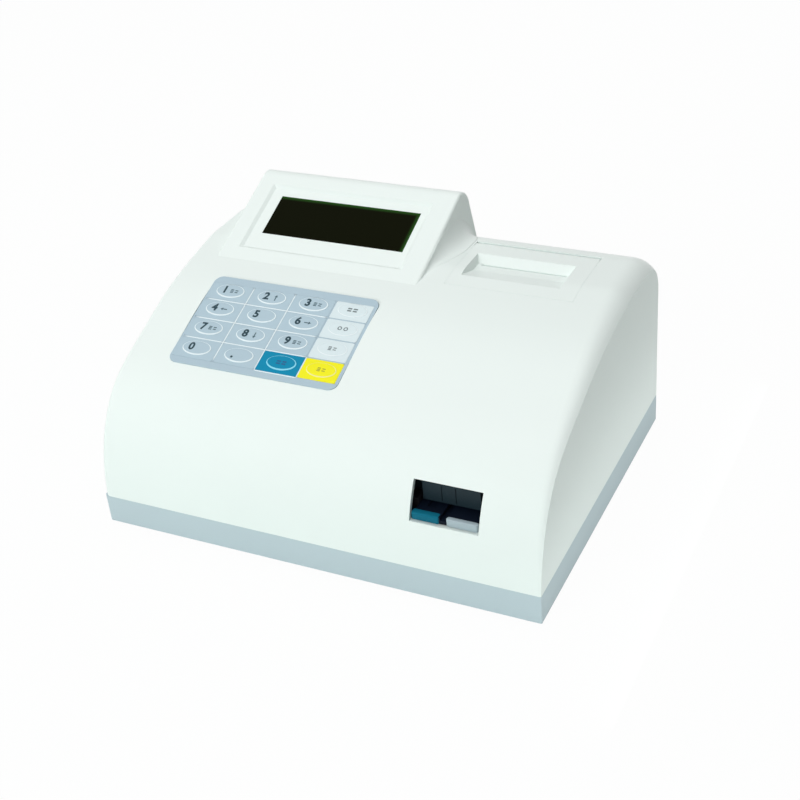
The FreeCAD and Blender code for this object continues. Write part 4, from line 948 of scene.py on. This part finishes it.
@dataclass(frozen=True)
class CrownProfile:
    """The cover's side profile: its height over the bench at a distance along Y.

    It is a smooth cubic through the moulding's points, given in millimetres from the profile's front
    and foot and level at its end, and then the quarter round of the rear.
    """

    front: float = -0.117
    foot: float = 0.0015
    points: tuple[Pair, ...] = ((0.0, 20.0), (3.8, 44.0), (13.1, 67.4), (32.0, 89.2), (66.0, 105.5),
                                (110.8, 121.6), (160.0, 131.2), (204.0, 132.2))
    rear_radius: float = 0.030
    start_lean: float = 0.05
    end_speed: float = 2.7
    samples: int = 400
    normal_step: float = 0.0005

    def curve(self) -> np.ndarray:
        """Points (y, z) along the profile, by a cubic spline on the chord lengths with given end slopes.

        Between two points the curve is the Hermite cubic of the points and their slopes. The inner
        slopes solve the usual three-row system that makes the second derivative continuous.

        Returns:
            An array of shape (samples, 2), in metres.
        """
        knots = np.array(self.points) * MILLIMETRE
        gaps = np.linalg.norm(np.diff(knots, axis=0), axis=1)
        at = np.concatenate([[0.0], np.cumsum(gaps)])
        size = len(knots)
        system, right = np.zeros((size, size)), np.zeros((size, 2))
        system[0, 0] = system[-1, -1] = 1.0
        right[0] = np.array([self.start_lean, 1.0]) / math.hypot(self.start_lean, 1.0)
        right[-1] = (self.end_speed, 0.0)
        inner = np.arange(1, size - 1)
        system[inner, inner - 1], system[inner, inner + 1] = gaps[1:], gaps[:-1]
        system[inner, inner] = 2 * (gaps[:-1] + gaps[1:])
        step = np.diff(knots, axis=0) / gaps[:, None]
        right[1:-1] = 3 * (gaps[1:, None] * step[:-1] + gaps[:-1, None] * step[1:])
        slopes = np.linalg.solve(system, right)
        s = np.linspace(0, at[-1], self.samples)
        cell = np.clip(np.searchsorted(at, s, side="right") - 1, 0, size - 2)
        t = ((s - at[cell]) / gaps[cell])[:, None]
        wide = gaps[cell][:, None]
        flat = ((1 + 2 * t) * (1 - t) ** 2 * knots[cell] + t * (1 - t) ** 2 * wide * slopes[cell]
                + t * t * (3 - 2 * t) * knots[cell + 1] - t * t * (1 - t) * wide * slopes[cell + 1])
        return flat + np.array([self.front, self.foot])

    def height(self, y: np.ndarray) -> np.ndarray:
        """The height at each y, with the quarter round at the rear.

        Args:
            y: distances along Y.

        Returns:
            The heights, in metres.
        """
        flat = self.curve()
        level = np.interp(y, flat[:, 0], flat[:, 1])
        start = flat[-1, 0]
        past = np.clip(y - start, 0, self.rear_radius)
        return level - (self.rear_radius - np.sqrt(self.rear_radius ** 2 - past ** 2))

    def normal(self, y: np.ndarray) -> np.ndarray:
        """The unit normal at each y, from the heights a small step before and behind.

        Args:
            y: distances along Y.

        Returns:
            An array with one more axis than y, holding X, Y and Z.
        """
        step = self.normal_step
        rise = (self.height(y + step) - self.height(y - step)) / (2 * step)
        made = np.stack([np.zeros_like(y), -rise, np.ones_like(y)], axis=-1)
        return made / np.linalg.norm(made, axis=-1, keepdims=True)


@dataclass
class PodRoots:
    """The concave blends where the display pod's side walls rise out of the crown."""

    crown: CrownProfile
    pod: Slope
    width: float = 0.1515
    draft: float = math.radians(7.0)
    start: float = 0.0315
    end: float = 0.1135
    full_right: float = 0.0140
    full_left: float = 0.0012
    least: float = 0.0006
    rise_run: float = 0.045
    fall_start: float = 0.088
    fall_run: float = 0.026
    fall_share: float = 0.93
    sink: float = 0.0002
    root_depth: float = 0.0012
    places: int = 70
    section_points: int = 16

    def build(self) -> None:
        """Adds the blend on each side of the pod."""
        sides = (("pod_root_right", 1, self.full_right), ("pod_root_left", -1, self.full_left))
        for name, sign, full in sides:
            piece = self._blend(name, sign, full)
            dress(piece, COVER)
            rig.ride(piece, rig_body("upper_cover"))
            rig.slot(piece, "cover")
            LOG.info("%s blends the pod into the crown", name)

    def _blend(self, name: str, sign: int, full: float) -> Piece:
        """One blend: a rolling ball's path between the crown and a side wall.

        At each y the ball's centre stands off the junction by the sum of the two normals, times the
        radius over one plus their product, and the section runs over the ball from one touching
        point to the other, and back through points a little inside the two walls.

        Args:
            name: the new piece's name.
            sign: 1 for the right wall, -1 for the left one.
            full: the ball's largest radius, over the least one.

        Returns:
            The blend as a closed solid.
        """
        along, _, out = self.pod.axes()
        wall = sign * math.cos(self.draft) * along + math.sin(self.draft) * out
        corner = np.array(self.pod.corner) + (self.width if sign > 0 else 0.0) * along
        y = np.linspace(self.start, self.end, self.places)
        z = self.crown.height(y)
        offset = np.stack([np.zeros_like(y), y, z], axis=-1) - corner
        x = corner[0] - (offset[:, 1] * wall[1] + offset[:, 2] * wall[2]) / wall[0]
        root = np.stack([x, y, z], axis=-1)
        crown = self.crown.normal(y)
        radius = self._radius(y, full)[:, None]
        share = (crown @ wall)[:, None]
        center = root + radius / (1 + share) * (crown + wall)
        turn = np.arccos(np.clip(share, -1, 1))[..., None]
        t = np.linspace(0, 1, self.section_points)[None, :, None]
        spoke = (np.sin((1 - t) * turn) * crown[:, None] + np.sin(t * turn) * wall) / np.sin(turn)
        arc = center[:, None] - radius[:, None] * spoke
        inside = (arc[:, -1] - self.sink * wall, root - self.root_depth * (crown + wall),
                  arc[:, 0] - self.sink * crown)
        return ring_solid(name, np.concatenate([arc, np.stack(inside, axis=1)], axis=1))

    def _radius(self, y: np.ndarray, full: float) -> np.ndarray:
        """The ball's radius at each y.

        It is the least one plus the full one times a smooth step over the rise's run, times one less
        the fall's share of a smooth step over the fall's run.

        Args:
            y: distances along Y.
            full: the ball's largest radius, over the least one.

        Returns:
            The radii, in metres.
        """
        rise = smooth_step((y - self.start) / self.rise_run)
        fall = smooth_step((y - self.fall_start) / self.fall_run)
        return self.least + full * (rise * (1 - self.fall_share * fall))


# ---------------------------------------------------------------- the lid and the port


@dataclass
class LidTrim:
    """Pale fills that hide the shade of the lid's gap and of its paper slot, painted light: a thin bead in the gap and
    a plate in the slot.
    """

    crown: CrownProfile
    left: float = 0.034
    right: float = 0.121
    front: float = 0.031
    rear: float = 0.0826
    gap: float = 0.00035
    fill_wide: float = 0.00017
    fill_high: float = 0.00006
    fill_sunk: float = 0.00002
    fill_steps: int = 60
    section_points: int = 8
    slot_half: float = 0.0293
    slot_middle: float = 0.075
    slot_front: float = 0.0655
    slot_rear: float = 0.0669
    slot_top: float = 0.1280
    bar_round: float = 0.4
    bar_levels: tuple[Pair, ...] = ((0.0, -0.0022), (0.0, -0.00045), (0.0001, -0.00035))

    def build(self) -> None:
        """Adds both pieces."""
        gap_fill = self._gap_fill()
        dress(gap_fill, PALE_GAP_FILL)
        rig.ride(gap_fill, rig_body("upper_cover"))
        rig.slot(gap_fill, "cover")
        bar = self._bar()
        dress(bar, PALE_GAP_FILL)
        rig.ride(bar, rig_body("printer_lid"))
        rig.slot(bar, "cover")
        LOG.info("lid seal and tear bar built")

    def _gap_fill(self) -> Piece:
        """A thin pale bead down one side of the gap, across its front and up the other side, that covers the gap's
        shade.

        Its centre line follows the middle of the gap, just under the crown's profile, and its section
        is a flat ellipse.

        Returns:
            The gap's fill as a closed solid.
        """
        half_gap = self.gap / 2
        steps = self.fill_steps
        side = np.linspace(self.rear, self.front + half_gap, steps)
        across = np.linspace(self.left + half_gap, self.right - half_gap, steps)
        x = np.concatenate([np.full(steps, across[0]), across[1:-1], np.full(steps, across[-1])])
        y = np.concatenate([side, np.full(steps - 2, side[-1]), side[::-1]])
        z = self.crown.height(y) - self.fill_high - self.fill_sunk
        center = np.stack([x, y, z], axis=-1)
        heading = np.gradient(center, axis=0)
        heading /= np.linalg.norm(heading, axis=1, keepdims=True)
        beside = np.cross(heading, np.array([0.0, 0.0, 1.0]))
        beside /= np.linalg.norm(beside, axis=1, keepdims=True)
        above = np.cross(beside, heading)
        s = full_turn(self.section_points)[None, :, None]
        section = self.fill_wide * np.cos(s) * beside[:, None] + self.fill_high * np.sin(s) * above[:, None]
        return ring_solid("lid_gap_fill", center[:, None] + section)

    def _bar(self) -> Piece:
        """A pale plate with rounded ends in the paper slot, just under the scoop's floor, that covers the slot's
        shade.

        Each ring is the plate's rounded outline, drawn in by its level's inset, at its level's height
        from the slot's top. A level is an inset and a height.

        Returns:
            The bar as a closed solid.
        """
        half_y = (self.slot_rear - self.slot_front) / 2
        outline = rounded_outline(self.slot_half, half_y, half_y * self.bar_round, 4)
        levels = np.array(self.bar_levels)
        flat = outline[None] * (1 - levels[:, :1, None] / half_y)
        x = flat[..., 0] + self.slot_middle
        y = flat[..., 1] + (self.slot_front + self.slot_rear) / 2
        z = np.broadcast_to(self.slot_top + levels[:, 1:], flat.shape[:2])
        return ring_solid("pale_slot_fill", np.stack([x, y, z], axis=-1))


@dataclass(frozen=True)
class TrayLip:
    """A moulded lip on the front of one of the tray's plates."""

    name: str
    slot: str
    left: float
    right: float
    rear: float
    radius: float
    front: float = -0.1097
    low: float = 0.0519
    high: float = 0.05705
    foot_bevel: float = 0.0003
    top_round: float = 0.0008
    corner_steps: int = 6

    def build(self) -> None:
        """Adds the lip, riding on the tray.

        Each ring is the rounded outline of the lip in plan, drawn in towards the top over a small
        rounded edge.
        """
        half_x, half_y = (self.right - self.left) / 2, (self.rear - self.front) / 2
        outline = rounded_outline(half_x, half_y, self.radius, self.corner_steps)
        turn = np.linspace(0, math.pi / 2, self.corner_steps)
        foot, edge = self.foot_bevel, self.top_round
        inset = np.concatenate([[foot, 0.0], edge * (1 - np.cos(turn))])
        height = np.concatenate([[self.low, self.low + foot], self.high - edge + edge * np.sin(turn)])
        scale = 1 - inset[:, None, None] / np.array([half_x, half_y])
        flat = outline[None] * scale
        flat = flat + np.array([(self.left + self.right) / 2, (self.front + self.rear) / 2])
        z = np.broadcast_to(height[:, None, None], flat.shape[:2] + (1,))
        rings = np.concatenate([flat, z], axis=-1)
        piece = ring_solid(self.name, rings)
        dress(piece, FINISHES[self.slot])
        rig.ride(piece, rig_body("strip_tray"))
        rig.slot(piece, self.slot)
        LOG.info("%s built", self.name)


LIPS: tuple[TrayLip, ...] = (
    TrayLip("strip_plate_lip", "turquoise", 0.0693, 0.0869, -0.1052, 0.0010),
    TrayLip("reference_plate_lip", "reference", 0.0914, 0.1117, -0.1062, 0.0016),
)


# ---------------------------------------------------------------- the studio


@dataclass(frozen=True)
class Lamp:
    """One soft area lamp that looks at a point of the object, and isn't seen itself."""

    name: str
    place: Point
    aim: Point
    power: float
    size: Pair

    def build(self) -> None:
        """Adds the lamp."""
        data = bpy.data.lights.new(self.name, "AREA")
        data.energy = self.power
        data.shape = "RECTANGLE"
        data.size, data.size_y = self.size
        lamp = bpy.data.objects.new(self.name, data)
        lamp.location = self.place
        lamp.rotation_euler = (Vector(self.aim) - Vector(self.place)).to_track_quat("-Z", "Y").to_euler()
        lamp.visible_camera = lamp.visible_glossy = False
        bpy.context.scene.collection.objects.link(lamp)


def seen_rays(tree: Tree) -> Socket:
    """One for a camera, a mirrored or a transmitted ray, and zero for the rest.

    Args:
        tree: the node tree that the nodes go into.

    Returns:
        The socket with that value.
    """
    path = tree.nodes.new("ShaderNodeLightPath")
    value = path.outputs["Is Camera Ray"]
    for kind in ("Is Glossy Ray", "Is Transmission Ray"):
        widest = tree.nodes.new("ShaderNodeMath")
        widest.operation = "MAXIMUM"
        tree.links.new(value, widest.inputs[0])
        tree.links.new(path.outputs[kind], widest.inputs[1])
        value = widest.outputs[0]
    return value


@dataclass
class Studio:
    """The pale floor, the lamps, the world and the camera.

    The camera's focal length is given in pixels of a square frame that is frame_px wide.
    """

    azimuth: float = math.radians(28.0)
    elevation: float = math.radians(32.17)
    roll: float = math.radians(-5.36)
    distance: float = 0.9561
    target: Point = (0.00347, 0.01398, 0.0465)
    focal_px: float = 1422.6
    frame_px: float = 800.0
    sensor: float = 36.0
    clip: Pair = (0.05, 20.0)
    ambient: float = 0.22
    floor_glow: float = 0.97
    floor_paint: Color = (0.72, 0.82, 0.785)
    floor_roughness: float = 0.8
    floor_half: float = 3.0
    lamps: tuple[Lamp, ...] = (
        Lamp("key_lamp", (-0.5, -2.0, 1.0), (0.0, 0.0, 0.06), 30.5, (1.2, 1.2)),
        Lamp("top_lamp", (-0.2, 0.4, 1.9), (0.0, 0.0, 0.06), 18.5, (1.6, 1.6)),
        Lamp("side_lamp", (0.215, 0.0, 0.012), (0.0, 0.0, 0.012), 0.044, (0.36, 0.03)),
    )

    def build(self) -> None:
        """Adds everything around the object."""
        self._floor()
        self._world()
        self._camera()
        for lamp in self.lamps:
            lamp.build()

    def _floor(self) -> None:
        """A wide pale floor that shows white to the camera and keeps a faint shadow."""
        side = np.array([-self.floor_half, self.floor_half])
        points = np.stack(np.meshgrid(side, side, [0.0], indexing="ij"), axis=-1)[:, :, 0, :]
        floor = grid_mesh("studio_floor", points)
        made = bpy.data.materials.new("studio_floor_paint")
        made.use_nodes = True
        tree = made.node_tree
        shader = tree.nodes["Principled BSDF"]
        shader.inputs["Base Color"].default_value = (*self.floor_paint, 1)
        shader.inputs["Roughness"].default_value = self.floor_roughness
        glow = tree.nodes.new("ShaderNodeEmission")
        mix = tree.nodes.new("ShaderNodeMixShader")
        share = tree.nodes.new("ShaderNodeMath")
        share.operation = "MULTIPLY"
        share.inputs[1].default_value = self.floor_glow
        tree.links.new(seen_rays(tree), share.inputs[0])
        tree.links.new(share.outputs[0], mix.inputs[0])
        tree.links.new(shader.outputs[0], mix.inputs[1])
        tree.links.new(glow.outputs[0], mix.inputs[2])
        tree.links.new(mix.outputs[0], tree.nodes["Material Output"].inputs["Surface"])
        floor.data.materials.append(made)
        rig.stage(floor)

    def _world(self) -> None:
        """A plain world: white where the camera sees it, a softer light elsewhere."""
        world = bpy.data.worlds.new("studio_world")
        bpy.context.scene.world = world
        world.use_nodes = True
        tree = world.node_tree
        back = tree.nodes["Background"]
        level = tree.nodes.new("ShaderNodeMapRange")
        level.inputs["To Min"].default_value = self.ambient
        level.inputs["To Max"].default_value = 1.0
        tree.links.new(seen_rays(tree), level.inputs["Value"])
        tree.links.new(level.outputs["Result"], back.inputs["Strength"])
        back.inputs["Color"].default_value = (1, 1, 1, 1)

    def _camera(self) -> None:
        """The camera, turned by its azimuth, elevation and roll around the target."""
        sine, cosine = math.sin(self.azimuth), math.cos(self.azimuth)
        level = math.cos(self.elevation)
        back = Vector((sine * level, -cosine * level, math.sin(self.elevation)))
        right = (-back).cross(Vector((0, 0, 1))).normalized()
        up = right.cross(-back)
        turned_right = math.cos(self.roll) * right + math.sin(self.roll) * up
        turned_up = -math.sin(self.roll) * right + math.cos(self.roll) * up
        data = bpy.data.cameras.new("camera")
        data.sensor_width = self.sensor
        data.lens = self.focal_px * self.sensor / self.frame_px
        data.clip_start, data.clip_end = self.clip
        camera = bpy.data.objects.new("camera", data)
        turn = Matrix((turned_right, turned_up, back)).transposed().to_4x4()
        camera.matrix_world = Matrix.Translation(Vector(self.target) + back * self.distance) @ turn
        bpy.context.scene.collection.objects.link(camera)
        bpy.context.scene.camera = camera


# ---------------------------------------------------------------- assembly


def plain_bounds() -> list[list[float]]:
    """The whole object's box as plain lists."""
    return [[float(number) for number in corner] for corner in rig.bounds()]


def main() -> None:
    """Builds the looks in order and writes the boxes before and after."""
    logging.basicConfig(level=logging.INFO, format="%(name)s %(message)s")
    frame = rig.load()
    cad_box = plain_bounds()
    scene = bpy.context.scene
    scene.view_settings.view_transform = "Standard"
    Studio().build()
    FrameDress(frame["record"], frame["nodes"]).dress()
    BODY_OF.update({name: node["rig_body"] for name, node in frame["nodes"].items()})
    crown = CrownProfile()
    Keypad(Slope(Vector(KEYPAD_CORNER), KEYPAD_TILT)).build()
    PodRoots(crown, Slope(Vector(POD_CORNER), POD_TILT)).build()
    LidTrim(crown).build()
    for lip in LIPS:
        lip.build()
    with open(SIZE_FILE, "w", encoding="utf-8") as sink:
        json.dump({"cad": cad_box, "visual": plain_bounds()}, sink)


if __name__ == "__main__":
    main()
